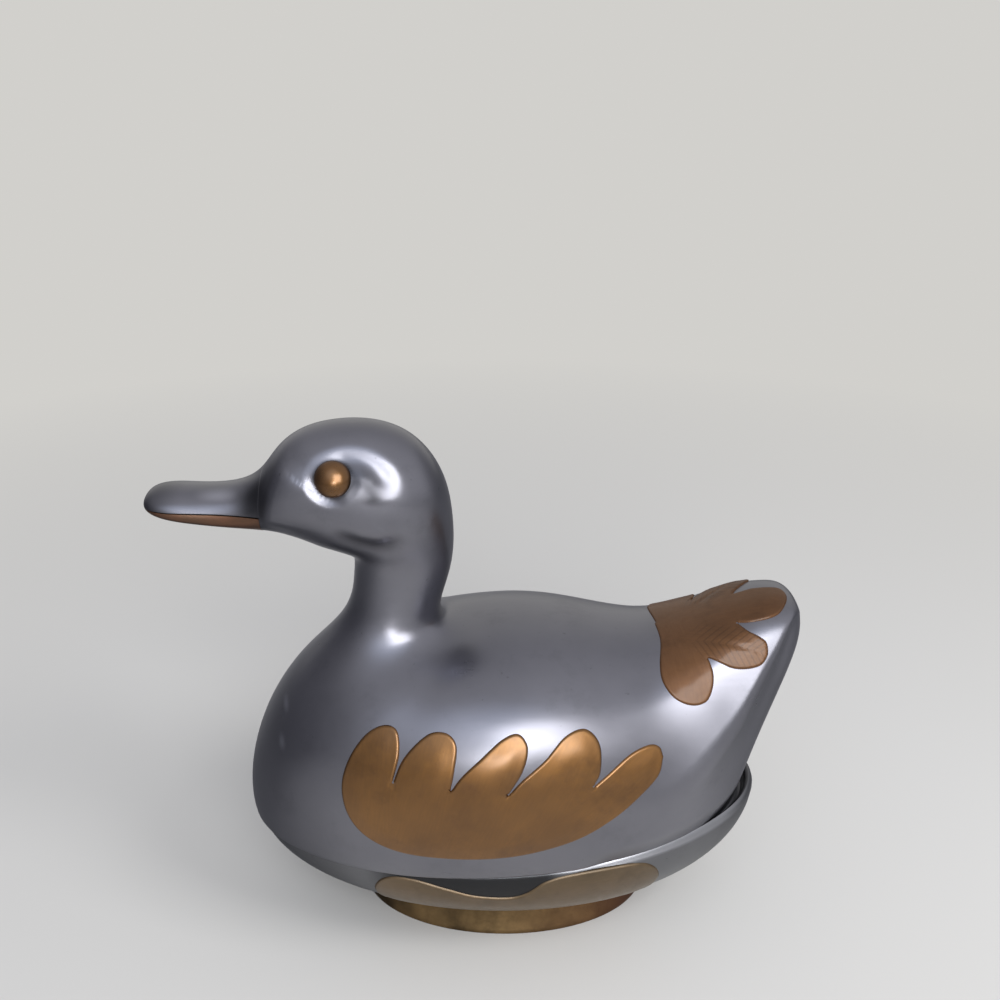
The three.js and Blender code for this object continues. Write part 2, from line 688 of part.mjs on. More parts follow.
const product = new THREE.Group();
product.name = 'duck_trinket_dish';
product.add(makeDish());
product.add(makeFootRing());
product.add(makeBezel());
product.add(...makePair(['wave_left', 'wave_right'], waveSheet(), BRASS));
product.add(makeLidShell());
product.add(makeHeadNeck());
product.add(makeLowerBill());
product.add(...makePair(['eye_left', 'eye_right'], eyeStud(), BRASS));
product.add(...makePair(['wing_left', 'wing_right'], wingSheet(), BRASS));
product.add(makeTailFan());

export default product;
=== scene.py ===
import math

import bmesh
import bpy
import numpy as np
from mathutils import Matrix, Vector, geometry
from mathutils.bvhtree import BVHTree


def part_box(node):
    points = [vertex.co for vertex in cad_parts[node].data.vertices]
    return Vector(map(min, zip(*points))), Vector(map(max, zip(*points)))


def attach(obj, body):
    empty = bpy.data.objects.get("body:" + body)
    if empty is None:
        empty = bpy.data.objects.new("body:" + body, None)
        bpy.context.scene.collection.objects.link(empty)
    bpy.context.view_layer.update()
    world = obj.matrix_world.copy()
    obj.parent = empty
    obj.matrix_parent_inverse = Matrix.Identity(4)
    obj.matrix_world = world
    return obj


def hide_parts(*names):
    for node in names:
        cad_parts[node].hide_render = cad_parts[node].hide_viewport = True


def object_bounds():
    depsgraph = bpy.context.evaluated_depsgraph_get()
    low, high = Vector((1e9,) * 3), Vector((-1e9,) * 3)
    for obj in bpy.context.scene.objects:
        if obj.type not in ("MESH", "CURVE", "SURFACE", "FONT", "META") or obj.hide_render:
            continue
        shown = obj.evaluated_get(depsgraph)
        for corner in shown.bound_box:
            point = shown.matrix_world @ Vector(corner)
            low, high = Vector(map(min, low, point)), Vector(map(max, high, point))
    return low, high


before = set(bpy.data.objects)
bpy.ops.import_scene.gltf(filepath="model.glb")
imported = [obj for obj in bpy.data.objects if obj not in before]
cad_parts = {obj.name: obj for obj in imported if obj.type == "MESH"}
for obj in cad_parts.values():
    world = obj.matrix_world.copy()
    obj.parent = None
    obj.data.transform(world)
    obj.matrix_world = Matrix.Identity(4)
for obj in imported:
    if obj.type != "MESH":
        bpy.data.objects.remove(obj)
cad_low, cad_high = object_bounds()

# Shapes are worked out in millimetres, in the frame's axes, and scaled when a mesh is made.
MM = 0.001
MIRROR = np.array([1, -1, 1])

# Fits and sheet sizes, as in the solids
LID_GAP = 0.3
LID_WALL = 1.8
FOOT_CENTRE_X = 5.5
FOOT_HALF_LENGTH = 33.6
FOOT_HALF_WIDTH = 20.9
FOOT_HEIGHT = 9.4
FOOT_WALL = 2.4
FOOT_FLARE = 1.6
FOOT_WAIST = 0.5
FOOT_BEAD = 0.45
RIM_HEIGHT = 25.0
RIM_SLOPE = 3.1
RIM_BOW_RADIUS = 680.0
DISH_FLOOR_THICKNESS = 2.2
DISH_FOOT_SHOULDER = 0.2
BEZEL_THICKNESS = 1.2
BEZEL_ABOVE = 2.4
BEZEL_BELOW = 3.2
BEZEL_FIT = 0.3
BEZEL_CORNER = 0.25
NECK_JOINT_HEIGHT = 77.6
NECK_CUT_X = 2.0
CHIN_STATION = 31
LOWER_BILL_DEPTH = 5.1
LOWER_BILL_RISE = 0.3
BILL_SEAM = 0.05
EYE_X, EYE_Z = -28.8, 109.0
EYE_RADIUS = 3.8
EYE_DOME = 2.5
EYE_SINK = 0.5

# Outer surface, slice by slice from tail tip to bill tip. Each row: back point x, z; belly point x, z;
# half width; fullness of the shoulders; lean of the widest point to the belly.
STATIONS = np.array([
    [70, 72, 70, 72, 0, 0, 0],
    [69.7, 76.2, 70.1, 68.6, 5.2, 0.15, -0.05],
    [66.4, 77.9, 68.8, 63, 9, 0.3, -0.12],
    [61, 77.4, 66.4, 54.5, 11.4, 0.34, -0.15],
    [55, 75.4, 63.6, 45.5, 13.8, 0.32, -0.14],
    [48.5, 72.5, 60.8, 36, 16.6, 0.3, -0.11],
    [42, 70.2, 57.8, 26, 20.2, 0.26, -0.07],
    [35, 69, 51, 16.5, 24.4, 0.24, -0.03],
    [27.5, 69.8, 37.5, 10.5, 28.8, 0.24, 0],
    [19, 71.1, 20, 9, 32, 0.25, 0],
    [11.5, 71.7, 0, 9, 33.6, 0.25, 0],
    [5.5, 71.6, -22, 9, 33, 0.24, -0.01],
    [1.5, 71.1, -42, 11, 30.8, 0.15, -0.07],
    [-1.2, 70.6, -52.4, 18.5, 28.4, 0.08, -0.1],
    [-3.4, 70.3, -53.8, 30, 26.2, 0.08, -0.08],
    [-5.2, 70.4, -51.8, 41, 23.8, 0.1, -0.04],
    [-6.8, 70.9, -47.8, 51, 19.8, 0.08, -0.02],
    [-8, 72, -41.6, 60, 14.9, 0.06, 0],
    [-8.6, 73.6, -34.6, 67, 11.3, 0.04, 0],
    [-8.5, 76.2, -29.6, 73, 9.7, 0.02, 0],
    [-7.3, 80, -27.6, 78.2, 9.2, 0, 0],
    [-5.9, 84.8, -27.1, 82.4, 9.1, 0, 0],
    [-5.3, 90.2, -26.8, 85.4, 9.4, 0, 0],
    [-5.5, 96.2, -26.8, 87.3, 10.6, 0, 0],
    [-6.4, 103, -27.6, 88.2, 12, 0.03, 0],
    [-9.4, 109.6, -29.2, 88.7, 12.9, 0.05, 0],
    [-14.6, 114.8, -31.2, 89.3, 13.2, 0.06, 0],
    [-21.6, 117.2, -33.6, 90, 13, 0.06, 0],
    [-29.4, 117.2, -36.2, 91.2, 12.3, 0.05, 0],
    [-36.4, 115.6, -39, 92.2, 11.1, 0.04, 0],
    [-41.5, 112, -42, 93.1, 9.6, 0.03, 0.02],
    [-44.6, 107.2, -44.8, 93.8, 8.2, 0.06, 0.06],
    [-48, 104.3, -49, 94.6, 7.5, 0.12, 0.12],
    [-52.8, 103, -53.6, 95.4, 7.2, 0.18, 0.18],
    [-58.6, 102.7, -58.8, 96.2, 7.3, 0.2, 0.2],
    [-64.2, 103, -64.2, 97.1, 7.4, 0.2, 0.2],
    [-68.2, 102.5, -68, 97.9, 6.2, 0.16, 0.15],
    [-69.9, 101.2, -69.9, 98.9, 3.9, 0.08, 0.05],
    [-70, 100, -70, 100, 0, 0, 0],
])
LAST = len(STATIONS) - 1
CHIN = STATIONS[CHIN_STATION]
BILL_TIP = STATIONS[LAST]
BILL_CLIMB = (BILL_TIP[3] - CHIN[3] - LOWER_BILL_DEPTH - LOWER_BILL_RISE) / (CHIN[2] - BILL_TIP[2])

# Overlay outlines, the same as the solids
WAVE_EDGE = [
    (-26, 0.4), (-24, 0.74), (-20, 0.93), (-14, 0.95), (-7, 0.86), (-1, 0.77), (6, 0.74),
    (10, 0.79), (14, 0.92), (19, 0.97), (28, 0.97), (36, 0.92), (41, 0.72), (43, 0.4),
]
WAVE_FOOT_SHARE = 0.22
WAVE_PROFILE_X = 8
WING_BASE = 32.0
WING_LOWER_EDGE = [
    (38.4, 20.4), (37.4, 16.8), (33.5, 13), (28, 8.6), (21, 4.4), (12, 1.6), (3, 0.2), (-8, 0), (-17, 0.8),
    (-23.5, 3.5), (-27.3, 8), (-28.5, 14), (-27, 20), (-23.5, 25.2), (-19.5, 27.6), (-16.5, 27), (-16, 23),
    (-17.4, 17.5),
]
WING_FEATHERS = [
    [(-15.6, 21.8), (-12.7, 25.3), (-9.4, 27.6), (-6, 27.7), (-4.2, 25.6), (-4.7, 20.9), (-5.5, 17)],
    [(-3.4, 20), (0, 23.3), (4.6, 27.2), (8.2, 28.3), (10.2, 25.8), (9.2, 21.4), (6.3, 16.6)],
    [(9, 19.6), (13.5, 23.3), (17.6, 27.2), (21.9, 28), (24.9, 25), (25.1, 19.7), (23.7, 16.8)],
    [(26.4, 18.8), (31, 22), (35.2, 23.2), (37.6, 22.4), (38.4, 20.4)],
]
WING_AXES = [
    ((-22.5, 4), (-20.5, 26)), ((-12.5, 6), (-7, 27)), ((-1.5, 5), (7.6, 27.5)), ((10, 6), (21.5, 27.4)),
    ((17, 6), (37, 21.6)),
]
# The tail fan is drawn as seen from 45 degrees above the side: x, and distance down from the ridge
TAIL_VIEW_LEAN = math.sqrt(0.5)
TAIL_RIDGE_HEIGHT = 77.0
TAIL_FAN_SHIFT = 6.0
TAIL_SIDE_LOBES = [
    [(39.1, 10.2), (38.3, 16.1), (38.5, 19.9), (40.3, 23.1), (42.9, 24.7), (45.6, 25), (47.9, 24),
     (49.1, 21.6), (49.4, 18.9), (48.9, 16.6), (48.4, 15.2)],
    [(51, 16.5), (53.4, 17.5), (56.5, 17.6), (59.4, 16.8), (60.9, 14.8), (60.8, 12.3), (59.4, 11), (57, 9.6)],
]
TAIL_LOBE_NOTCH = (55.2, 7.6)
TAIL_TOP_LOBE = [
    (57.5, 7.8), (61.3, 7.2), (64, 5.9), (66.2, 2.9), (66.9, 0.5), (66, -1.4), (63.5, -1.9), (60, -1.9),
]
TAIL_SEAM = [(38.7, 0.0), (56.2, 2.6)]
TAIL_AXES = [((42, 6), (44.6, 24)), ((44, 10.5), (61, 14.4)), ((40, 4), (67, 1.2))]
TAIL_VEIN = 1

# Overlays: how thick they stand, and how finely they are meshed
OVERLAY_HEIGHT = 0.48
OVERLAY_EDGE_ROUND = 0.5
OVERLAY_CROWN = 0.12
OVERLAY_SINK = 0.13
OVERLAY_UNDERSIDE = OVERLAY_SINK + 0.15
OVERLAY_STEP = 0.6
OUTLINE_STEP = 0.42
EDGE_ROWS = (0.12, 0.32, 0.6, 0.95)
RIB_DEPTH, RIB_WIDTH = 0.2, 0.35
# Where rays start that lay overlays on the casting: y at the side, z above, and distance from the ridge
WING_RAY_Y = -90
SEAM_RAY_Z = 200
TAIL_RAY = 100

# Mesh counts
HALF_SIDES = 96
SIDES = 2 * HALF_SIDES
CREASE = 48
LID_RINGS = 250
NECK_RINGS = 250
BILL_RINGS = 150
OVAL_SIDES = 288
EYE_SIDES = 64

# Where the castings begin and end along the stations
TAIL_END = 0.15
LID_END = 20.8
HEAD_START = 18.6
BILL_END = LAST - 0.08
EYE_STATIONS = (22, 31)

# Edges: the lid's round lower edge, and the dish's rim where it shows past the lid toward the tail
EDGE_ROUND = 0.55
EDGE_STEPS = 6
NECK_HOLE_ABOVE = 60.0
RIM_SHOWN = 0.8
RIM_SHOWN_FROM = (20, 29)
RIM_SHOWN_TO = (53, 62)
# Across the dish's rim: way in from its outer edge, height, and height toward the tail, where it has a lip
DISH_EDGE = [
    (0.04, -1.5, -1.5), (0.05, -0.9, -0.9), (0.25, -0.45, -0.2), (0.6, -0.12, 0.35), (1.05, 0.0, 0.6),
    (1.5, -0.02, 0.5), (1.9, -0.05, 0.15), (2.15, -0.06, -0.6), (2.35, -0.07, -1.7), (2.7, -0.08, -2.2),
    (3.3, -0.09, -2.3), (3.8, -0.1, -2.0), (4.1, -0.1, -0.9), (4.4, -0.1, -0.15), (5.2, -0.1, -0.1),
]
DISH_EDGE_ROOM = 5.8
DISH_EDGE_BEVEL = 2.15
DISH_LIP = (22, 52)

# Cast details. Lines and places are x, z in the side view; painted shade is a share from 0 to 1.
HEAD_STATIONS = (21, 23)
SOCKET_REACH = 15.0
SOCKET_RADIUS = 6.3
SOCKET_DEPTH = 0.15
SOCKET_DEEPER_BENEATH = 0.55
SOCKET_LEAN = (0.55, 0.83)
SOCKET_SHADE = 0.7
BROW_CENTRE = (-25.5, 104.0)
BROW_RADIUS = 8.5
BROW_WIDTH = 2.4
BROW_DEPTH = 0.8
BROW_SHADE, BROW_SHADE_INSIDE, BROW_SHADE_WIDTH = 0.97, 3.4, 2.3
JAW = [(-31, 97.6), (-28, 96.4), (-24.5, 94.9), (-21, 94), (-18.6, 94.2), (-16.6, 95.5), (-15, 97.8)]
JAW_DEPTH, JAW_WIDTH = 0.35, 2.2
JAW_LIP = 0.2
JAW_SHADE = 0.55
FACE_EDGE = [
    (-42.8, 96), (-42.3, 98.9), (-41.7, 101.5), (-41, 104.3), (-39.8, 107.4), (-38.9, 109.8), (-36.6, 112.7),
]
FACE_EDGE_RISE = 0.65
FACE_EDGE_SHADE = 0.5
BILL_TIP_SHADE = 0.5
BILL_ROOT_X, BILL_ROOT_SHADE = -46, 0.45
# Flare of the tail's flanks: angle of its crest and its height at each station
FLARE_CREST = [
    (1.6, 45), (2.0, 52), (2.4, 71), (2.8, 83), (3.2, 89), (3.7, 91.5), (4.2, 94.5), (4.7, 96.5), (5.2, 95),
    (5.6, 92), (6.2, 91), (8, 90),
]
FLARE_HEIGHT = [
    (0, 0), (1, 0.1), (2, 0.6), (3, 1.7), (4, 2.9), (5, 3.6), (6, 3.4), (7, 2.4), (8, 1.0), (9, 0),
]
FLARE_FLANK = 42.0
FLARE_FALL = 32.0
FLARE_ROUNDING = (-6, -4, -2, 0, 2, 4, 6)
# Places made bright, rubbed wear on the breast and a painted highlight on the bill: middle x and z, half
# length and half height, strength
WEAR_AND_SHEEN_PATCHES = [(-54.3, 102.6, 4.2, 1.2, 0.75), (-42.1, 55.7, 0.9, 1.1, 0.6), (-42.4, 49.9, 0.9, 1.4, 0.6)]
# Strength of the painted highlight along the dish's rim where it shows past the lid
RIM_SHEEN = 0.6
# Along x, where painted shade on the dish behind the wave's trough starts and clears again
WAVE_SHADE_FROM = (-26, -17)
WAVE_SHADE_TO = (14, 20)

# Metals
BARB_PITCH = 1.1
COAT_IOR = 1.7
BUMP_DISTANCE = 0.0003

# Stage, in metres. Azimuth 0 points to the viewer, 90 to the tail.
FLOOR_HALF = 6.0
FLOOR_COLOUR = (0.61, 0.602, 0.58, 1)
FLOOR_FADE = (0.14, 0.45)
BACKGROUND = (0.64, 0.63, 0.605, 1)
BACKDROP_SPREAD = (0.6, 0.9)
SHEET_REACH = 0.1
STUDIO_FLOOR = (0.43, 0.426, 0.422, 1)
# Painted shade on the floor, seen by rays other than the camera's: azimuth, cosines off it where the dark
# starts and is full, colour
FLOOR_SHADES = [(-100, 0.6, 0.97, (0.16, 0.16, 0.168, 1)), (128, 0.55, 0.9, (0.215, 0.215, 0.223, 1))]
ROOM_DULL = (0.42, 0.42, 0.44, 1)
# Patches of the room: azimuth, elevation, cosines off them where they start and are full, colour
ROOM_PATCHES = [
    (80, 45, -0.6, 1.0, (0.72, 0.72, 0.75, 1)),
    (180, 20, 0.4, 0.95, (0.46, 0.46, 0.48, 1)),
    (-6, 40, 0.84, 0.985, (1.25, 1.35, 1.55, 1)),
    (125, -5, 0.8, 0.95, (0.24, 0.24, 0.26, 1)),
    (-95, -5, 0.5, 0.95, (0.13, 0.13, 0.15, 1)),
]
# Lamps: name, azimuth, elevation, width and height, watts, whether metal mirrors them
LAMPS = [
    ("key", 14, 27, (0.46, 0.44), 3.35, True),
    ("low", -2, 10, (0.2, 0.12), 0.8, True),
    ("side", 62, 42, (0.3, 0.3), 2.4, False),
]
LAMP_DISTANCE = 0.8
LAMP_AIM = (0, 0, 0.06)
CAMERA_PLACE = (0.0045, -0.2165, 0.1927)
CAMERA_DOWN = 23.3
CAMERA_LENS = 40.2


# Outer surface of the duck

def station(t):
    rows = np.vstack([2 * STATIONS[0] - STATIONS[1], STATIONS, 2 * STATIONS[-1] - STATIONS[-2]])
    i = np.clip(np.floor(t).astype(int), 0, LAST - 1)
    f = (t - i)[..., None]
    return (
        (1 - f) ** 3 * rows[i]
        + (3 * f ** 3 - 6 * f ** 2 + 4) * rows[i + 1]
        + (-3 * f ** 3 + 3 * f ** 2 + 3 * f + 1) * rows[i + 2]
        + f ** 3 * rows[i + 3]
    ) / 6


def surface(t, angle):
    row = station(np.asarray(t, float))
    back, belly = row[..., 0:2], row[..., 2:4]
    share = (1 - np.cos(angle)) / 2 + row[..., 6] * np.sin(angle) ** 2
    side = -row[..., 4] * np.sin(angle) * (1 + row[..., 5] * np.cos(angle) ** 2)
    line = back + (belly - back) * share[..., None]
    return np.stack([line[..., 0], side, line[..., 1]], -1)


def smoothstep(low, high, value):
    f = np.clip((value - low) / (high - low), 0, 1)
    return f * f * (3 - 2 * f)


def window(rise, fall, value):
    """0 to 1 over the first span, and back to 0 over the second."""
    return smoothstep(*rise, value) * (1 - smoothstep(*fall, value))


def bell(value, width):
    return np.exp(-(value / width) ** 2)


def rim_height(x):
    run = x - FOOT_CENTRE_X
    return RIM_HEIGHT + math.tan(math.radians(RIM_SLOPE)) * run + run ** 2 / (2 * RIM_BOW_RADIUS)


def bill_split(x):
    return CHIN[3] + LOWER_BILL_DEPTH + BILL_CLIMB * (CHIN[2] - x)


def crease_angle(t):
    low, high = np.full_like(t, math.pi / 4), np.full_like(t, math.pi)
    for _ in range(40):
        mid = (low + high) / 2
        point = surface(t, mid)
        above = point[..., 2] > bill_split(point[..., 0])
        low, high = np.where(above, mid, low), np.where(above, high, mid)
    plain = math.pi * CREASE / HALF_SIDES
    return plain + (low - plain) * smoothstep(CHIN_STATION - 3, CHIN_STATION, t)


def slice_angles(t):
    """Angles round each slice, with one grid line on the bill's split."""
    split = crease_angle(t)[:, None]
    j = np.arange(HALF_SIDES + 1)[None]
    upper = split * j / CREASE
    lower = split + (math.pi - split) * (j - CREASE) / (HALF_SIDES - CREASE)
    half = np.where(j <= CREASE, upper, lower)
    return np.concatenate([half, 2 * math.pi - half[:, -2:0:-1]], 1)


def grid_normals(points):
    along = np.gradient(points, axis=0)
    around = np.roll(points, -1, 1) - np.roll(points, 1, 1)
    normal = np.cross(around, along)
    normal /= np.linalg.norm(normal, axis=-1, keepdims=True) + 1e-12
    outward = ((points - points.mean(1, keepdims=True)) * normal).sum(-1)
    return normal * np.sign(outward.mean())


def smooth_table(t, table):
    """Table value at each station, averaged over its neighbourhood so that no kink shows."""
    offsets = np.linspace(-0.9, 0.9, 19)
    weights = bell(offsets, 0.5)
    steps, values = np.array(table).T
    return sum(w * np.interp(t + o, steps, values) for o, w in zip(offsets, weights)) / weights.sum()


def line_distance(points, line):
    """Signed distance from a line in the side view, positive on its left, and the share along it."""
    line = np.array(line, float)
    run = np.diff(line, axis=0)
    from_start = points[..., None, [0, 2]] - line[:-1]
    f = np.clip((from_start * run).sum(-1) / (run ** 2).sum(-1), 0, 1)
    off = from_start - f[..., None] * run
    size = np.linalg.norm(off, axis=-1)
    signed = np.where(run[:, 0] * off[..., 1] >= run[:, 1] * off[..., 0], size, -size)
    share = (np.arange(len(run)) + f) / len(run)
    nearest = size.argmin(-1)[..., None]
    return [np.take_along_axis(values, nearest, -1)[..., 0] for values in (signed, share)]


def eye_place(points, normals):
    off = np.hypot(points[..., 0] - EYE_X, points[..., 2] - EYE_Z) + 1e3 * (points[..., 1] > 0)
    at = np.unravel_index(np.argmin(off), off.shape)
    return points[at], normals[at]


def eye_socket(points, normals, t):
    """Shallow ring round each eye, deepest in front and beneath, with painted shade along the stud."""
    eye, outward = eye_place(points, normals)
    from_eye = np.stack([points[..., 0], -np.abs(points[..., 1]), points[..., 2]], -1) - eye
    lift = from_eye @ outward
    radius = np.sqrt(np.maximum((from_eye ** 2).sum(-1) - lift ** 2, 0))
    near = (np.linalg.norm(from_eye, axis=-1) < SOCKET_REACH) & (t[:, None] > EYE_STATIONS[0])
    rearward = np.cross((0, 0, 1), outward)
    rearward /= np.linalg.norm(rearward)
    upward = np.cross(outward, rearward)
    beneath = -(from_eye @ (SOCKET_LEAN[0] * rearward + SOCKET_LEAN[1] * upward)) / np.maximum(radius, 1e-6)
    depth = SOCKET_DEPTH + SOCKET_DEEPER_BENEATH * smoothstep(0.3, 0.98, beneath)
    raised = -depth * (1 - smoothstep(EYE_RADIUS + 0.2, SOCKET_RADIUS, radius))
    # Painted shade in a thin ring where the stud meets the casting
    shade_paint = SOCKET_SHADE * bell(radius - EYE_RADIUS - 0.1, 0.4)
    return np.where(near, raised, 0), np.where(near, shade_paint, 0)


def brow_hollow(points, normals, side, head):
    """Arc hollowed above and behind each eye, with painted shade on its inner side."""
    aside, up = points[..., 0] - BROW_CENTRE[0], points[..., 2] - BROW_CENTRE[1]
    swing = np.degrees(np.arctan2(up, aside))
    off = np.hypot(aside, up) - BROW_RADIUS
    fade = (1 - smoothstep(95, 140, swing)) * smoothstep(2.5, 6, side) * head
    hollow = bell(off / np.clip(np.abs(normals[..., 1]), 0.5, 1), BROW_WIDTH)
    raised = -fade * smoothstep(2, 40, swing) * BROW_DEPTH * hollow
    # Painted shade over the inner slope of the arc
    shade_paint = BROW_SHADE * fade * smoothstep(-15, 12, swing) * bell(off + BROW_SHADE_INSIDE, BROW_SHADE_WIDTH)
    return raised, shade_paint


def jaw_line(points, side, head):
    """Soft crease between cheek and throat, with painted shade along it."""
    off, along = line_distance(points, JAW)
    fade = window((0, 0.3), (0.7, 1), along) * smoothstep(4, 9, side) * head
    raised = fade * (JAW_LIP * bell(off - 3, 2) - JAW_DEPTH * bell(off, JAW_WIDTH))
    return raised, JAW_SHADE * fade * bell(off, 1.9)


def face_edge(points, side, head):
    """The face stands out where it meets the bill, with a band of painted shade beside the edge."""
    off, along = line_distance(points, FACE_EDGE)
    fade = window((0, 0.2), (0.7, 1), along) * smoothstep(3, 6.5, side) * head
    raised = fade * FACE_EDGE_RISE * (1 - smoothstep(-0.5, 3.2, off)) * bell(np.maximum(-off, 0), 7)
    return raised, FACE_EDGE_SHADE * fade * window((0.3, 2), (5, 10), off)


def bill_shade(x, t):
    """Painted shade at the bill's tip and root."""
    bill = smoothstep(CHIN_STATION - 2, CHIN_STATION, t)[:, None]
    tip = BILL_TIP_SHADE * (1 - smoothstep(-67, -61, x))
    return bill * (tip + BILL_ROOT_SHADE * bell(x - BILL_ROOT_X, 3.5))


def tail_flare(t, angles):
    """How far the tail's flanks swell toward their crest."""
    crest = smooth_table(t, FLARE_CREST)[:, None]
    height = smooth_table(t, FLARE_HEIGHT)[:, None]
    around = np.degrees(np.where(angles > math.pi, 2 * math.pi - angles, angles)) - crest
    off = around + np.array(FLARE_ROUNDING)[:, None, None]
    swell = np.clip(1 - np.where(off < 0, -off / FLARE_FLANK, off / FLARE_FALL), 0, 1) ** 2
    return height * swell.mean(0)


def carve(points, normals, t, angles):
    """How far the cast details stand out of the plain surface, and the painted shade in their hollows and
    creases.
    """
    side = np.abs(points[..., 1])
    head = smoothstep(*HEAD_STATIONS, t)[:, None]
    details = [
        eye_socket(points, normals, t),
        brow_hollow(points, normals, side, head),
        jaw_line(points, side, head),
        face_edge(points, side, head),
        (tail_flare(t, angles), bill_shade(points[..., 0], t)),
    ]
    raised, shade_paint = (sum(shares) for shares in zip(*details))
    return raised, np.clip(shade_paint, 0, 1)


def wear_and_sheen(points):
    """How bright the casting is made on the duck's left: rubbed wear on the breast, a painted highlight on
    the bill.
    """
    shine = np.zeros(points.shape[:-1])
    left = smoothstep(0.5, 5, -points[..., 1])
    for x, z, length, height, strength in WEAR_AND_SHEEN_PATCHES:
        off = np.hypot((points[..., 0] - x) / length, (points[..., 2] - z) / height)
        shine = np.maximum(shine, strength * (1 - smoothstep(0.1, 1.3, off)) * left)
    return shine


def duck_grid(t):
    """Points, normals, the painted shade, and the rubbed wear and painted highlights at each point."""
    angles = slice_angles(t)
    points = surface(np.repeat(t[:, None], SIDES, 1), angles)
    normals = grid_normals(points)
    raised, shade_paint = carve(points, normals, t, angles)
    points = points + normals * raised[..., None]
    return points, grid_normals(points), np.stack([shade_paint, wear_and_sheen(points)], -1)


# Mesh helpers

def ring_faces(rings, sides):
    i, j = np.meshgrid(np.arange(rings - 1), np.arange(sides), indexing="ij")
    k = (j + 1) % sides
    quads = np.stack([i * sides + j, i * sides + k, (i + 1) * sides + k, (i + 1) * sides + j], -1)
    return quads.reshape(-1, 4).tolist()


def pole_faces(first, sides, pole):
    return [[first + j, first + (j + 1) % sides, pole] for j in range(sides)]


def capped(loops, first_pole, last_pole):
    """Closed body from a stack of loops, with a pole over each end."""
    rings, sides = loops.shape[:2]
    points = np.concatenate([loops.reshape(-1, 3), [first_pole], [last_pole]])
    faces = ring_faces(rings, sides) + pole_faces(0, sides, len(points) - 2)
    return points, faces + pole_faces((rings - 1) * sides, sides, len(points) - 1)


def add_object(name, data):
    holder = bpy.data.objects.new(name, data)
    bpy.context.scene.collection.objects.link(holder)
    return holder


def make_piece(name, points, faces, material, body, nodes, sharp=40, marks=None):
    """Mesh of one piece, in the place of its CAD nodes and clipped to the box of the whole part."""
    mesh = bpy.data.meshes.new(name)
    inside = np.clip(np.asarray(points) * MM, cad_low, cad_high)
    mesh.from_pydata(inside.tolist(), [], faces)
    work = bmesh.new()
    work.from_mesh(mesh)
    bmesh.ops.recalc_face_normals(work, faces=work.faces)
    work.to_mesh(mesh)
    work.free()
    for key, values in (marks or {}).items():
        layer = mesh.attributes.new(key, "FLOAT", "POINT")
        layer.data.foreach_set("value", np.asarray(values, np.float32))
    mesh.polygons.foreach_set("use_smooth", np.ones(len(mesh.polygons), bool))
    mesh.set_sharp_from_angle(angle=math.radians(sharp))
    mesh.materials.append(material)
    piece = add_object(name, mesh)
    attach(piece, body)
    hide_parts(*nodes)
    return piece


# Materials

class Nodes:
    """Short forms for building a node tree."""

    def __init__(self, owner):
        owner.use_nodes = True
        self.tree = owner.node_tree
        self.tree.nodes.clear()

    def add(self, kind, inputs=(), **settings):
        """A node. Its inputs are given by name or number, or in their order."""
        node = self.tree.nodes.new("ShaderNode" + kind)
        for key, value in settings.items():
            setattr(node, key, value)
        for key, value in inputs.items() if isinstance(inputs, dict) else enumerate(inputs):
            if isinstance(value, bpy.types.NodeSocket):
                self.tree.links.new(value, node.inputs[key])
            else:
                node.inputs[key].default_value = value
        return node

    def math(self, operation, a, b=0.0):
        return self.add("Math", (a, b), operation=operation).outputs[0]

    def times(self, a, b):
        return self.math("MULTIPLY", a, b)

    def vector_math(self, operation, output, a, b=(0, 0, 0)):
        return self.add("VectorMath", (a, b), operation=operation).outputs[output]

    def remap(self, value, from_low, from_high, to_low=0.0, to_high=1.0):
        return self.add("MapRange", (value, from_low, from_high, to_low, to_high)).outputs["Result"]

    def mix(self, factor, a, b):
        return self.add("Mix", {0: factor, 6: a, 7: b}, data_type="RGBA").outputs[2]

    def noise(self, vector, scale, detail, roughness=0.5):
        node = self.add("TexNoise", {
            "Vector": vector, "Scale": scale, "Detail": detail, "Roughness": roughness,
        })
        return node.outputs["Fac"]

    def attribute(self, name):
        return self.add("Attribute", attribute_name=name).outputs["Fac"]

    def facing(self, ray, azimuth, elevation, low, high):
        """Rises from 0 to 1 as a ray turns toward a direction."""
        dot = self.vector_math("DOT_PRODUCT", "Value", ray, tuple(direction(azimuth, elevation)))
        return self.remap(dot, low, high)


def direction(azimuth, elevation):
    a, e = math.radians(azimuth), math.radians(elevation)
    return Vector((math.sin(a) * math.cos(e), -math.cos(a) * math.cos(e), math.sin(e)))


def shaded(colour, share):
    return tuple(share * c for c in colour[:3]) + (1.0,)


def start_metal(name):
    material = bpy.data.materials.new(name)
    nodes = Nodes(material)
    return material, nodes, nodes.add("TexCoord").outputs["Object"]


def finish_metal(nodes, colour, roughness, relief, strength, coat=None):
    bump = nodes.add("Bump", {"Height": relief, "Strength": strength, "Distance": BUMP_DISTANCE})
    shader = nodes.add("BsdfPrincipled", {
        "Metallic": 1.0, "Base Color": colour, "Roughness": roughness, "Normal": bump.outputs[0],
        **(coat or {}),
    })
    nodes.add("OutputMaterial", {"Surface": shader.outputs[0]})


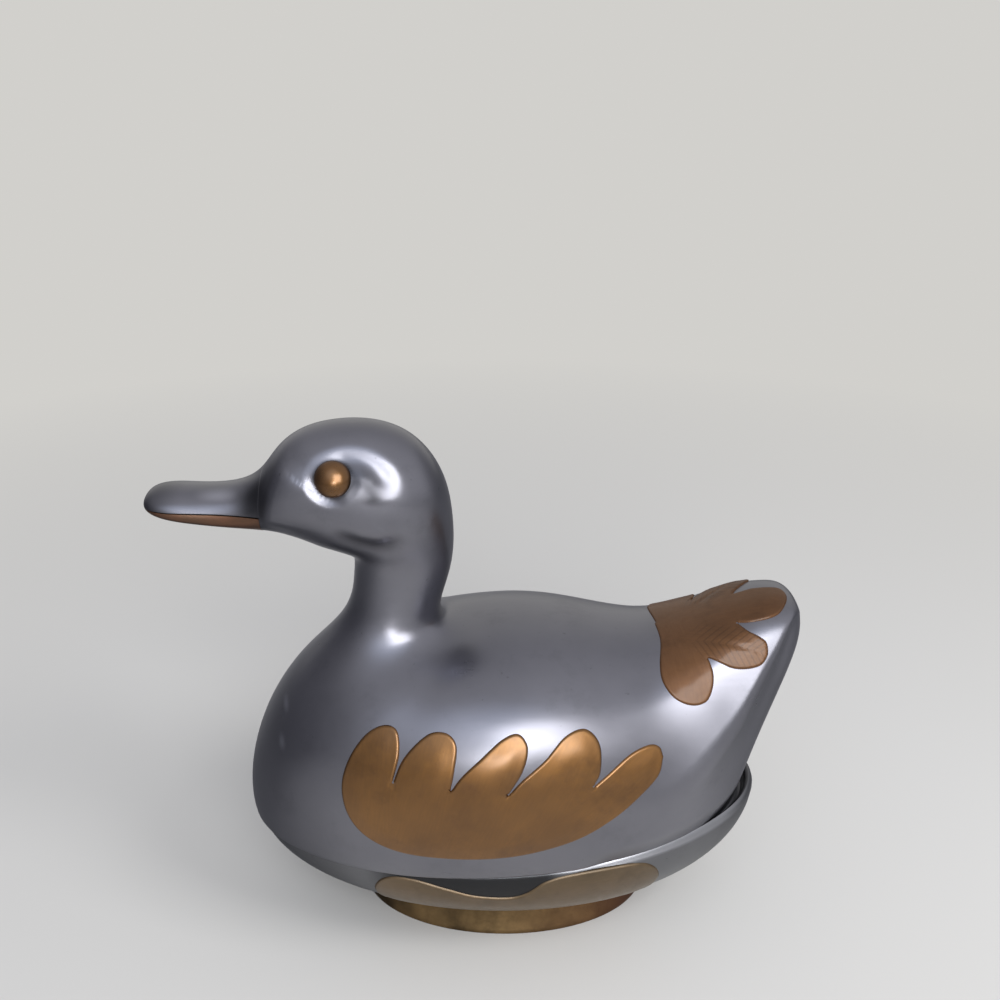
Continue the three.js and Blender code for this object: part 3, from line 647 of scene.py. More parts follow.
def pewter_material(name, dark, light, rough):
    """Cast pewter: clouded, a little brushed, specked, with painted shade in its hollows and creases, and
    bright where it is rubbed or where a highlight is painted.
    """
    material, nodes, place = start_metal(name)
    cloud = nodes.noise(place, 38.0, 4.0, 0.55)
    fine = nodes.noise(place, 650.0, 3.0, 0.6)
    drawn_out = nodes.add("Mapping", {"Vector": place, "Scale": (90.0, 900.0, 900.0)})
    brushed = nodes.noise(drawn_out.outputs["Vector"], 1.0, 3.0, 0.6)
    tarnish = nodes.remap(nodes.noise(place, 120.0, 6.0, 0.7), 0.56, 0.75, 0.0, 0.3)
    speck = nodes.remap(nodes.noise(place, 700.0, 2.0), 0.72, 0.8, 0.0, 0.4)
    colour = nodes.mix(nodes.remap(cloud, 0.3, 0.7), dark, light)
    for share, tone in (
        (tarnish, shaded(dark, 0.7)),
        (speck, shaded(dark, 0.5)),
        # Painted shade in hollows and creases, then rubbed wear and painted highlights, from the marks on the
        # mesh
        (nodes.times(nodes.attribute("painted_shade"), 0.85), shaded(dark, 0.12)),
        (nodes.times(nodes.attribute("wear_and_sheen"), 0.8), shaded(light, 2.3)),
    ):
        colour = nodes.mix(share, colour, tone)
    gloss = nodes.math("ADD", nodes.times(brushed, 0.3), nodes.times(cloud, 0.7))
    relief = nodes.math("ADD", nodes.times(brushed, 0.6), nodes.times(fine, 0.4))
    finish_metal(nodes, colour, nodes.remap(gloss, 0.35, 0.65, *rough), relief, 0.035)
    return material


def brass_material(name, dark, light, stain, rough, coat, feathered=False, reddened=None):
    """Aged brass under a thin coat. feathered adds grain and engraved barbs, reddened a redder rear end."""
    material, nodes, place = start_metal(name)
    cloud = nodes.noise(place, 55.0, 5.0, 0.6)
    fine = nodes.noise(place, 520.0, 4.0, 0.6)
    patch = nodes.remap(nodes.noise(place, 95.0, 6.0, 0.7), 0.5, 0.7, 0.0, 0.75)
    colour = nodes.mix(nodes.remap(cloud, 0.32, 0.68), dark, light)
    colour = nodes.mix(patch, colour, stain)
    relief = nodes.times(fine, 0.2)
    if reddened:
        along_x = nodes.add("SeparateXYZ", (place,)).outputs["X"]
        colour = nodes.mix(nodes.remap(along_x, 0.005, 0.035, 0.0, 0.8), colour, reddened)
    if feathered:
        along, across = nodes.attribute("along"), nodes.attribute("across")
        grain = nodes.add("CombineXYZ", (nodes.times(along, 0.22), nodes.times(across, 2.2)))
        streak = nodes.noise(grain.outputs[0], 1.0, 4.0, 0.6)
        colour = nodes.mix(nodes.remap(streak, 0.35, 0.65, 0.16, 0.0), colour, shaded(dark, 0.45))
        relief = nodes.math("ADD", relief, nodes.times(streak, 0.25))
        slant = nodes.times(nodes.math("ABSOLUTE", across), 0.66)
        phase = nodes.math("SUBTRACT", nodes.times(along, 0.75), slant)
        wave = nodes.math("SINE", nodes.times(phase, 2 * math.pi / BARB_PITCH))
        barb = nodes.times(nodes.remap(wave, -1.0, -0.4, 1.0, 0.0), nodes.attribute("vein"))
        colour = nodes.mix(nodes.times(barb, 0.3), colour, shaded(dark, 0.3))
        relief = nodes.math("SUBTRACT", relief, nodes.times(barb, 0.4))
    weight, roughness = coat
    finish_metal(nodes, colour, nodes.remap(fine, 0.3, 0.7, *rough), relief, 0.2, {
        "Coat Weight": weight, "Coat Roughness": roughness, "Coat IOR": COAT_IOR,
    })
    return material


PEWTER = pewter_material(
    "pewter_cast", dark=(0.204, 0.204, 0.23, 1), light=(0.25, 0.249, 0.279, 1), rough=(0.27, 0.35))
# The dish's pewter is a darker copy of the lid's: painted shade for the low part that mirrors the pale floor.
DISH_PEWTER = pewter_material(
    "pewter_dish", dark=(0.16, 0.162, 0.172, 1), light=(0.203, 0.205, 0.217, 1), rough=(0.28, 0.38))
BRASS = brass_material(
    "brass_aged", dark=(0.178, 0.074, 0.0085, 1), light=(0.25, 0.108, 0.015, 1),
    stain=(0.138, 0.055, 0.006, 1), rough=(0.3, 0.4), coat=(0.7, 0.24), feathered=True)
TAIL_BRASS = brass_material(
    "brass_tail", dark=(0.155, 0.07, 0.026, 1), light=(0.218, 0.103, 0.042, 1),
    stain=(0.12, 0.054, 0.02, 1), rough=(0.6, 0.7), coat=(0.35, 0.2), feathered=True)
# The wave plates' brass is made darker for the pale floor it mirrors: painted shade.
WAVE_BRASS = brass_material(
    "brass_dull", dark=(0.125, 0.08, 0.033, 1), light=(0.176, 0.114, 0.056, 1),
    stain=(0.09, 0.058, 0.024, 1), rough=(0.42, 0.55), coat=(0.6, 0.36), feathered=True)
# The foot ring's brass is made darker for the pale floor it mirrors: painted shade.
RING_BRASS = brass_material(
    "brass_ring", dark=(0.058, 0.034, 0.01, 1), light=(0.31, 0.195, 0.08, 1),
    stain=(0.075, 0.045, 0.015, 1), rough=(0.3, 0.42), coat=(0.25, 0.36), reddened=(0.095, 0.026, 0.01, 1))
EYE_BRASS = brass_material(
    "brass_eye", dark=(0.13, 0.052, 0.005, 1), light=(0.17, 0.07, 0.008, 1),
    stain=(0.108, 0.044, 0.004, 1), rough=(0.26, 0.33), coat=(0.7, 0.22))
COPPERY = brass_material(
    "brass_coppery", dark=(0.155, 0.065, 0.031, 1), light=(0.22, 0.097, 0.049, 1),
    stain=(0.112, 0.06, 0.029, 1), rough=(0.34, 0.46), coat=(0.5, 0.36))


# Lid shell and head, both cut from one smooth casting so that their joint is flush

def grid_bmesh(points, normals, marks, pole, pole_normal, pole_ring):
    """Mesh of a grid of slices, closed by a pole over one of its end slices."""
    rings, sides = points.shape[:2]
    work = bmesh.new()
    outward_layer = work.verts.layers.float_vector.new("outward")
    mark_layer = work.verts.layers.float_vector.new("marks")
    made = []
    for p, n, m in zip(points.reshape(-1, 3), normals.reshape(-1, 3), marks.reshape(-1, 2)):
        vertex = work.verts.new(p)
        vertex[outward_layer] = n
        vertex[mark_layer] = (*m, 0)
        made.append(vertex)
    made.append(work.verts.new(pole))
    made[-1][outward_layer] = pole_normal
    for face in ring_faces(rings, sides) + pole_faces(pole_ring * sides, sides, len(made) - 1):
        work.faces.new([made[k] for k in face])
    return work


def bisect(work, height, keep_above, front_of=1e3):
    """Cuts at a height and clears one side, only where x is below front_of."""
    geom = [v for v in work.verts if v.co.x < front_of]
    geom += [g for g in (*work.edges, *work.faces) if all(v.co.x < front_of for v in g.verts)]
    bmesh.ops.bisect_plane(
        work, geom=geom, dist=1e-6, plane_co=(0, 0, height), plane_no=(0, 0, 1),
        clear_inner=keep_above, clear_outer=not keep_above,
    )


def read_back(work):
    """Points, outward directions, marks and faces of a cut casting."""
    work.verts.index_update()
    layers = work.verts.layers.float_vector
    outward_layer, mark_layer = layers["outward"], layers["marks"]
    points = np.array([v.co for v in work.verts])
    outward = np.array([v[outward_layer] for v in work.verts])
    marks = np.array([v[mark_layer] for v in work.verts])
    return points, outward, marks, [[v.index for v in f.verts] for f in work.faces]


def make_casting(name, points, faces, marks, outward, node):
    """A pewter piece whose shading runs on over the neck joint. Rows past the end of marks are plain."""
    count = len(marks)
    shown = np.zeros((len(points), 2))
    shown[:count] = marks[:, :2]
    at_neck = np.abs(points[:count, 2] - NECK_JOINT_HEIGHT) < 1e-3
    flush = np.zeros((len(points), 3))
    flush[:count][at_neck] = outward[at_neck]
    piece = make_piece(name, points, faces, PEWTER, "lid", [node],
                       marks={"painted_shade": shown[:, 0], "wear_and_sheen": shown[:, 1]})
    piece.data.normals_split_custom_set_from_vertices(flush.tolist())


def rim_shows(x):
    """How much of the dish's rim stands out past the lid, toward the tail."""
    return window(RIM_SHOWN_FROM, RIM_SHOWN_TO, x)


def make_lid():
    points, normals, marks = duck_grid(np.linspace(TAIL_END, LID_END, LID_RINGS))
    work = grid_bmesh(points, normals, marks, STATIONS[0][[0, 4, 1]], (1, 0, 0), 0)
    edge_rise = LID_GAP + EDGE_ROUND
    for vertex in work.verts:
        vertex.co.z -= rim_height(vertex.co.x) + edge_rise
    bisect(work, 0.0, True)
    for vertex in work.verts:
        vertex.co.z += rim_height(vertex.co.x) + edge_rise
    bisect(work, NECK_JOINT_HEIGHT, False, NECK_CUT_X)
    outer, outward, outer_marks, faces = read_back(work)
    open_edges = [tuple(v.index for v in e.verts) for e in work.edges if e.is_boundary]
    work.free()
    outward /= np.linalg.norm(outward, axis=1, keepdims=True) + 1e-12
    above_edge = outer[:, 2] - rim_height(outer[:, 0]) - edge_rise
    drawn_in = RIM_SHOWN * rim_shows(outer[:, 0]) * (1 - smoothstep(0, 5, above_edge))
    outer[:, :2] -= outward[:, :2] * drawn_in[:, None]

    count = len(outer)
    inner = outer - outward * LID_WALL
    all_faces = faces + [[count + k for k in face[::-1]] for face in faces]
    rim = np.array(sorted({k for edge in open_edges for k in edge if outer[k, 2] < NECK_HOLE_ABOVE}))
    rows, steps = [], [rim]
    for s in range(1, EDGE_STEPS):
        swing = math.pi * s / EDGE_STEPS
        row = outer[rim] + (inner[rim] - outer[rim]) * (1 - math.cos(swing)) / 2
        row[:, 2] -= EDGE_ROUND * math.sin(swing)
        steps.append(2 * count + len(rim) * len(rows) + np.arange(len(rim)))
        rows.append(row)
    steps = np.array(steps + [count + rim]).tolist()
    place = {k: i for i, k in enumerate(rim)}
    for a, b in open_edges:
        if outer[a, 2] > NECK_HOLE_ABOVE and outer[a, 0] < NECK_CUT_X:
            all_faces.append([a, b, count + b, count + a])
        else:
            i, j = place[a], place[b]
            all_faces += [[p[i], p[j], q[j], q[i]] for p, q in zip(steps, steps[1:])]
    points = np.concatenate([outer, inner] + rows)
    make_casting("lid_shell_cast", points, all_faces, outer_marks, outward, "lid_shell")


def make_head_and_lower_bill():
    neck = np.linspace(HEAD_START, CHIN_STATION, NECK_RINGS)
    bill = np.linspace(CHIN_STATION, BILL_END, BILL_RINGS)
    points, normals, marks = duck_grid(np.concatenate([neck, bill[1:]]))

    # The slice at the chin is doubled, and from there on the head's underside is the flat split.
    split_left, split_right = CREASE, SIDES - CREASE
    twice = np.r_[0:NECK_RINGS, NECK_RINGS - 1:len(points)]
    head = points[twice]
    left, right = head[NECK_RINGS:, split_left, None], head[NECK_RINGS:, split_right, None]
    across = np.linspace(0, 1, split_right - split_left + 1)[1:-1, None]
    head[NECK_RINGS:, split_left + 1:split_right] = left + (right - left) * across
    tip = STATIONS[LAST][[0, 4, 1]]
    work = grid_bmesh(head, normals[twice], marks[twice], tip, (-1, 0, 0), len(head) - 1)
    bisect(work, NECK_JOINT_HEIGHT, True)
    bmesh.ops.contextual_create(work, geom=[e for e in work.edges if e.is_boundary])
    verts, outward, kept_marks, faces = read_back(work)
    work.free()
    make_casting("head_neck_cast", verts, faces, kept_marks, outward, "head_neck")

    lower = points[NECK_RINGS - 1:, split_left + 1:split_right].copy()
    lower[..., 2] -= BILL_SEAM
    back = np.linspace(0, 1, 22)[1:-1]
    tops = lower[:, -1:] + (lower[:, :1] - lower[:, -1:]) * back[None, :, None]
    loops = np.concatenate([lower, tops], 1)
    flat, faces = capped(loops, loops[0].mean(0), loops[-1].mean(0))
    make_piece("lower_bill_plate", flat, faces, COPPERY, "lid", ["lower_bill"])


# Eyes

def turned(profile, sides, origin, axis):
    """Body of revolution from radii and heights along an axis."""
    first = np.cross(axis, (0, 0, 1))
    first /= np.linalg.norm(first)
    second = np.cross(axis, first)
    swing = np.linspace(0, 2 * math.pi, sides, endpoint=False)[:, None]
    spokes = first * np.cos(swing) + second * np.sin(swing)
    rings = np.array([origin + axis * height + spokes * radius for radius, height in profile])
    return capped(rings, origin + axis * profile[0][1], origin + axis * profile[-1][1])


def make_eyes():
    t = np.linspace(*EYE_STATIONS, 300)
    points = surface(np.repeat(t[:, None], SIDES, 1), slice_angles(t))
    place, normal = eye_place(points, grid_normals(points))
    swings = np.linspace(0, math.pi / 2 * 0.985, 22)
    dome = [(EYE_RADIUS * math.cos(s), -EYE_SINK + EYE_DOME * math.sin(s)) for s in swings]
    profile = [(EYE_RADIUS * 0.9, -2.2), (EYE_RADIUS * 0.985, -1.8)] + dome
    for name, turn in (("eye_left", 1), ("eye_right", MIRROR)):
        eye_points, faces = turned(profile, EYE_SIDES, place * turn, normal * turn)
        make_piece(name + "_stud", eye_points, faces, EYE_BRASS, "lid", [name])


# Overlays: outlines filled with fine points, laid on the casting and pillowed

def spline(points, per_span=12):
    """Smooth line through points, ends included."""
    p = np.array(points, float)
    ends = np.vstack([2 * p[0] - p[1], p, 2 * p[-1] - p[-2]])
    a, b, c, d = (ends[k:len(p) - 1 + k, None] for k in range(4))
    f = np.linspace(0, 1, per_span, endpoint=False)[:, None]
    line = b + 0.5 * ((c - a) * f + (2 * a - 5 * b + 4 * c - d) * f ** 2 + (3 * b - a - 3 * c + d) * f ** 3)
    return np.concatenate([line.reshape(-1, 2), p[-1:]])


def chain(line, lobes):
    """Carries a line on through each lobe, with a corner between lobes."""
    for lobe in lobes:
        line = np.concatenate([line, spline([line[-1]] + lobe)[1:]])
    return line


def lengths_along(line):
    return np.concatenate([[0], np.cumsum(np.linalg.norm(np.diff(line, axis=0), axis=1))])


def resample(line, step):
    line = np.asarray(line)
    lengths = lengths_along(line)
    count = max(2, int(round(lengths[-1] / step)))
    at = np.linspace(0, lengths[-1], count + 1)
    return np.stack([np.interp(at, lengths, line[:, k]) for k in range(2)], 1)


def segment_distance(points, starts, ends):
    """Least distance from each point to a set of straight pieces."""
    best = np.full(len(points), 1e9)
    for a, b in zip(starts, ends):
        run = b - a
        f = np.clip(((points - a) @ run) / max(run @ run, 1e-12), 0, 1)
        best = np.minimum(best, np.linalg.norm(points - a - f[:, None] * run, axis=1))
    return best


def inside_polygon(points, outline):
    x, y = points.T[..., None]
    a, b = outline.T, np.roll(outline, -1, 0).T
    with np.errstate(divide="ignore", invalid="ignore"):
        at = (b[0] - a[0]) * (y - a[1]) / (b[1] - a[1]) + a[0]
    crosses = ((a[1] > y) != (b[1] > y)) & (x < at)
    return crosses.sum(1) % 2 == 1


def fill_outline(outline, real):
    """Flat mesh of a clockwise outline. real marks which of its edges are true edges of the sheet."""
    ends = np.roll(outline, -1, 0)
    low, high = outline.min(0), outline.max(0)
    columns = np.arange(low[0], high[0], OVERLAY_STEP)
    rows = np.arange(low[1], high[1], OVERLAY_STEP * 0.87)
    grid = np.array([(x + OVERLAY_STEP / 2 * (k % 2), y) for k, y in enumerate(rows) for x in columns])
    grid = grid[inside_polygon(grid, outline)]
    grid = grid[segment_distance(grid, outline, ends) > EDGE_ROWS[-1] + 0.3]
    middle = (outline + ends) / 2
    run = ends - outline
    inward = np.stack([run[:, 1], -run[:, 0]], 1) / np.linalg.norm(run, axis=1, keepdims=True)
    near = []
    for offset in EDGE_ROWS:
        row = (middle + inward * offset)[real]
        row = row[inside_polygon(row, outline)]
        near.append(row[segment_distance(row, outline, ends) > 0.97 * offset])
    points = np.concatenate([outline] + near + [grid])
    count = len(outline)
    edges = [(k, (k + 1) % count) for k in range(count)]
    made, _, faces, _, _, _ = geometry.delaunay_2d_cdt([Vector(p) for p in points], edges, [], 1, 1e-6)
    flat = np.array([tuple(v) for v in made])
    return flat, [list(f) for f in faces], segment_distance(flat, outline[real], ends[real])


def feather_marks(flat, axes, vein=-1):
    """Distance along and across the nearest feather's rib, and whether barbs are cut there."""
    start, end = np.array(axes, float).transpose(1, 0, 2)
    length = np.linalg.norm(end - start, axis=1)
    run = (end - start) / length[:, None]
    off = flat[:, None] - start
    along = (off * run).sum(-1)
    across = off[..., 1] * run[:, 0] - off[..., 0] * run[:, 1]
    past = np.maximum(0, -along) + np.maximum(0, along - length)
    nearest = np.hypot(across, past).argmin(1)
    each = np.arange(len(flat))
    along, across = along[each, nearest], across[each, nearest]
    cut = (nearest == vein) * smoothstep(0, 5, along) * (1 - smoothstep(3, 5, np.abs(across)))
    return {"along": along, "across": across, "vein": cut}


def overlay_height(edge, marks):
    """Height of an overlay's face above the casting."""
    rise = np.clip(edge / OVERLAY_EDGE_ROUND, 0, 1)
    pillow = OVERLAY_HEIGHT * np.sqrt(1 - (1 - rise) ** 2) - OVERLAY_SINK
    rib = RIB_DEPTH * marks["vein"] * bell(marks["across"], RIB_WIDTH)
    return pillow + OVERLAY_CROWN * smoothstep(0.5, 4, edge) - rib * smoothstep(1, 2.5, edge)


def lay(flat, edge, marks, project):
    """Face and underside of an overlay laid on the casting."""
    places, normals = zip(*[project(p) for p in flat])
    places, normals = np.array(places), np.array(normals)
    return places + normals * overlay_height(edge, marks)[:, None], places - normals * OVERLAY_UNDERSIDE


def make_overlay(node, top, bottom, faces, marks, material, body):
    """Closes a sheet with its underside and rim and makes it a piece."""
    count = len(top)
    edges = [edge for face in faces for edge in zip(face, face[1:] + face[:1])]
    shared = set(edges)
    closed = faces + [[count + k for k in f[::-1]] for f in faces]
    closed += [[b, a, count + a, count + b] for a, b in edges if (b, a) not in shared]
    make_piece(node + "_overlay", np.concatenate([top, bottom]), closed, material, body, [node],
               sharp=60, marks={key: np.concatenate([value, value]) for key, value in marks.items()})


class Casting:
    """The fine outer surface, for laying the overlays on."""

    def __init__(self):
        points, normals, _ = duck_grid(np.linspace(TAIL_END, 24, 330))
        self.points = points.reshape(-1, 3)
        self.normals = normals.reshape(-1, 3)
        self.faces = ring_faces(*points.shape[:2])
        self.tree = BVHTree.FromPolygons(self.points.tolist(), self.faces)

    def hit(self, start, way):
        """Place and normal where a ray meets the surface."""
        place, _, face, _ = self.tree.ray_cast(Vector(start), Vector(way))
        corners = self.faces[face]
        off = np.linalg.norm(self.points[corners] - np.array(place), axis=1)
        weight = 1 / (off + 1e-3) ** 2
        normal = (self.normals[corners] * weight[:, None]).sum(0)
        return np.array(place), normal / np.linalg.norm(normal)


def both_sides(name, outline, marks_of, project, material, body):
    """An overlay on the duck's left and its mirror image on the right."""
    flat, faces, edge = fill_outline(outline, np.ones(len(outline), bool))
    marks = marks_of(flat)
    top, bottom = lay(flat, edge, marks, project)
    make_overlay(name + "_left", top, bottom, faces, marks, material, body)
    make_overlay(name + "_right", top * MIRROR, bottom * MIRROR, faces, marks, material, body)


def make_wings(casting):
    outline = resample(chain(spline(WING_LOWER_EDGE), WING_FEATHERS), OUTLINE_STEP)[:-1]

    def project(p):
        return casting.hit((p[0], WING_RAY_Y, WING_BASE + p[1]), (0, 1, 0))

    both_sides("wing", outline, lambda flat: feather_marks(flat, WING_AXES), project, BRASS, "lid")


def make_tail_fan(casting):
    """The fan sits toward the duck's left, so its halves differ and meet at a slanted seam over the ridge."""
    lean = TAIL_VIEW_LEAN
    seam_plan = resample(np.array(TAIL_SEAM), OVERLAY_STEP)
    seam = np.array([casting.hit((x, y, SEAM_RAY_Z), (0, 0, -1))[0] for x, y in seam_plan])

    def project(p):
        start = (p[0], -lean * (p[1] + TAIL_RAY), TAIL_RIDGE_HEIGHT - lean * (p[1] - TAIL_RAY))
        return casting.hit(start, (0, lean, -lean))

    def half(seam_places, lobes, shift):
        down = -lean * (seam_places[:, 1] + seam_places[:, 2] - TAIL_RIDGE_HEIGHT)
        seam_flat = np.stack([seam_places[:, 0], down], 1)
        line = chain(seam_flat[:1], [[(x, d - shift) for x, d in lobe] for lobe in lobes])
        line = resample(np.concatenate([line, spline([line[-1], seam_flat[-1]], 4)[1:]]), OUTLINE_STEP)
        outline = np.concatenate([line, seam_flat[-2:0:-1]])
        flat, faces, edge = fill_outline(outline, np.arange(len(outline)) < len(line) - 1)
        axes = [((a[0], a[1] - shift), (b[0], b[1] - shift)) for a, b in TAIL_AXES]
        marks = feather_marks(flat, axes, TAIL_VEIN)
        on_seam = -np.arange(len(seam)) % len(outline)
        return *lay(flat, edge, marks, project), faces, marks, on_seam

    left_lobes = [TAIL_SIDE_LOBES[0], TAIL_SIDE_LOBES[1] + [TAIL_LOBE_NOTCH], TAIL_TOP_LOBE]
    top, bottom, faces, marks, on_seam = half(seam, left_lobes, 0)
    right_top, right_bottom, right_faces, right_marks, right_on_seam = half(
        seam * MIRROR, TAIL_SIDE_LOBES, TAIL_FAN_SHIFT)

    # Points of the right half that lie on the seam are the left half's own.
    fresh = np.ones(len(right_top), bool)
    fresh[right_on_seam] = False
    number = len(top) - 1 + np.cumsum(fresh)
    number[right_on_seam] = on_seam
    faces = faces + [number[f[::-1]].tolist() for f in right_faces]
    top = np.concatenate([top, right_top[fresh] * MIRROR])
    bottom = np.concatenate([bottom, right_bottom[fresh] * MIRROR])
    marks = {key: np.concatenate([marks[key], right_marks[key][fresh]]) for key in marks}
    make_overlay("tail_fan", top, bottom, faces, marks, TAIL_BRASS, "lid")


# Dish, foot ring and bezel: ovals stacked along a profile

def oval(front, rear, half_width):
    return np.array([(front + rear) / 2, (rear - front) / 2, half_width])


def grown(level, grow):
    return level + np.array([0, grow, grow])


FOOT_OVAL = np.array([FOOT_CENTRE_X, FOOT_HALF_LENGTH, FOOT_HALF_WIDTH])
FLOOR_OVAL = grown(FOOT_OVAL, DISH_FOOT_SHOULDER - FOOT_FLARE)
DISH_BOX = [np.array(corner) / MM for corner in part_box("dish")]
BEZEL_BOX = [np.array(corner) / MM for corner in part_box("lid_bezel")]
RIM_OVAL = oval(DISH_BOX[0][0], DISH_BOX[1][0], DISH_BOX[1][1])
BEZEL_OVAL = oval(BEZEL_BOX[0][0], BEZEL_BOX[1][0], BEZEL_BOX[1][1])
CAVITY_OVAL = grown(BEZEL_OVAL, BEZEL_FIT)


def oval_ring(level, height):
    """Points round an oval. height is a number or a function of x."""
    swing = np.linspace(0, 2 * math.pi, OVAL_SIDES, endpoint=False)
    x = level[0] + level[1] * np.cos(swing)
    y = level[2] * np.sin(swing)
    return np.stack([x, y, height(x) if callable(height) else np.full_like(x, height)], 1)


def bowl_level(floor, floor_height, rim, drop, share):
    """Oval and height at a share of the way from a bowl's floor to its rim."""
    out, up = math.sin(share * math.pi / 2), 1 - math.cos(share * math.pi / 2)
    level = floor + (rim - floor) * out
    return level, lambda x: floor_height + (rim_height(x) - drop - floor_height) * up


def wall_point(share, x):
    """Point of the dish's outer wall, on the duck's left."""
    level, height = bowl_level(FLOOR_OVAL, FOOT_HEIGHT, RIM_OVAL, 0, share)
    swing = math.acos((x - RIM_OVAL[0]) / RIM_OVAL[1])
    px = level[0] + level[1] * math.cos(swing)
    return np.array([px, -level[2] * math.sin(swing), height(px)])


def make_dish():
    rings = [oval_ring(grown(FLOOR_OVAL, -2.5), FOOT_HEIGHT)]
    for share in np.linspace(0, 0.88, 32):
        rings.append(oval_ring(*bowl_level(FLOOR_OVAL, FOOT_HEIGHT, RIM_OVAL, 0, share)))
    wall_rings = len(rings)
    outer = oval_ring(RIM_OVAL, rim_height)
    inner = oval_ring(CAVITY_OVAL, rim_height)
    width = np.linalg.norm(inner - outer, axis=1)
    toward = (inner - outer) / width[:, None]
    lip = smoothstep(*DISH_LIP, outer[:, 0])
    room = np.clip(width / DISH_EDGE_ROOM, 0, 1)
    shown = RIM_SHOWN * rim_shows(outer[:, 0])
    for along, plain, lipped in DISH_EDGE:
        bevel = shown * smoothstep(-1.7, -0.2, plain) * max(0, 1 - along / DISH_EDGE_BEVEL)
        ring = outer + toward * (along * room + bevel)[:, None]
        ring[:, 2] = rim_height(ring[:, 0]) + plain + (lipped - plain) * lip
        rings.append(ring)
    rings.append(oval_ring(CAVITY_OVAL, lambda x: rim_height(x) - 0.5))
    floor_top = FOOT_HEIGHT + DISH_FLOOR_THICKNESS
    cavity_floor = grown(FLOOR_OVAL, -DISH_FLOOR_THICKNESS)
    seat = BEZEL_BELOW + BEZEL_FIT
    for share in np.linspace(1, 0, 22):
        rings.append(oval_ring(*bowl_level(cavity_floor, floor_top, CAVITY_OVAL, seat, share)))
    rings.append(oval_ring(grown(cavity_floor, -3), floor_top))
    points, faces = capped(np.array(rings), [FOOT_CENTRE_X, 0, FOOT_HEIGHT], [FOOT_CENTRE_X, 0, floor_top])

    # Painted shade behind the wave's trough, and a painted highlight along the rim that shows
    painted_shade, rim_sheen = np.zeros((2, len(points)))
    wall = slice(0, (wall_rings + 4) * OVAL_SIDES)
    painted_shade[wall] = window(WAVE_SHADE_FROM, WAVE_SHADE_TO, points[wall, 0])
    rim = slice((wall_rings + 1) * OVAL_SIDES, (wall_rings + 6) * OVAL_SIDES)
    rim_sheen[rim] = RIM_SHEEN * rim_shows(points[rim, 0])
    make_piece("dish_bowl", points, faces, DISH_PEWTER, "dish_body", ["dish"],
               marks={"painted_shade": painted_shade, "wear_and_sheen": rim_sheen})


def make_band(name, rings, node):
    """Ring-shaped body from a closed loop of ovals."""
    count = len(rings) * OVAL_SIDES
    faces = [[k % count for k in f] for f in ring_faces(len(rings) + 1, OVAL_SIDES)]
    make_piece(name, np.array(rings).reshape(-1, 3), faces, RING_BRASS, "dish_body", [node])


def make_foot_ring():
    def ring(share, inset, height):
        drawn_in = FOOT_FLARE * share + FOOT_WAIST * math.sin(math.pi * share)
        return oval_ring(grown(FOOT_OVAL, -inset - drawn_in), height)

    rings = [ring(share, 0, FOOT_HEIGHT * share) for share in np.linspace(0.06, 0.985, 18)]
    rings.append(ring(1, FOOT_BEAD * 0.4, FOOT_HEIGHT))
    rings.append(ring(1, FOOT_WALL, FOOT_HEIGHT))
    rings += [ring(share, FOOT_WALL, FOOT_HEIGHT * share) for share in np.linspace(0.97, 0.05, 12)]
    rings.append(ring(0, FOOT_WALL - FOOT_BEAD, 0.0))
    rings.append(ring(0, FOOT_BEAD, 0.0))
    rings.append(ring(0.02, 0.12, 0.14))
    make_band("foot_ring_band", rings, "foot_ring")


def make_bezel():
    outside = [(0, -BEZEL_BELOW), (0, 0), (0, BEZEL_ABOVE - BEZEL_CORNER), (BEZEL_CORNER, BEZEL_ABOVE)]
    inside = [(BEZEL_THICKNESS - inset, rise) for inset, rise in reversed(outside)]
    rings = [
        oval_ring(grown(BEZEL_OVAL, -inset), lambda x, r=rise: rim_height(x) + r)
        for inset, rise in outside + inside
    ]
    make_band("lid_bezel_strip", rings, "lid_bezel")


def make_waves():
    shares = np.linspace(0, 1, 60)
    profile = [wall_point(share, WAVE_PROFILE_X) for share in shares]
    heights = lengths_along(profile)
    top_line = spline([(x, np.interp(s, shares, heights)) for x, s in WAVE_EDGE])
    foot = float(np.interp(WAVE_FOOT_SHARE, shares, heights))
    foot_line = [(WAVE_EDGE[-1][0], foot), (WAVE_EDGE[0][0], foot), tuple(top_line[0])]
    outline = resample(np.concatenate([top_line, np.array(foot_line)]), OUTLINE_STEP)[:-1]
    small = 0.02

    def project(p):
        share = float(np.interp(p[1], heights, shares))
        place = wall_point(share, p[0])
        along = wall_point(share, p[0] + small) - place
        up = wall_point(min(share + small, 1), p[0]) - wall_point(max(share - small, 0), p[0])
        normal = np.cross(along, up)
        return place, normal / np.linalg.norm(normal)

    def marks_of(flat):
        return {"along": flat[:, 0], "across": flat[:, 1], "vein": np.zeros(len(flat))}

    both_sides("wave", outline, marks_of, project, WAVE_BRASS, "dish_body")


make_lid()
make_head_and_lower_bill()
make_eyes()
casting = Casting()
make_wings(casting)
make_tail_fan(casting)
make_dish()
make_foot_ring()
make_bezel()
make_waves()


# Floor, light and camera

def sheet_rays(nodes, sheet):
    """The camera's rays, and with them the mirrored rays that meet the pale sheet."""
    path = nodes.add("LightPath").outputs
    seen = path["Is Camera Ray"]
    mirrored = nodes.math("MAXIMUM", path["Is Glossy Ray"], path["Is Transmission Ray"])
    return seen, nodes.math("MAXIMUM", seen, nodes.times(mirrored, sheet))


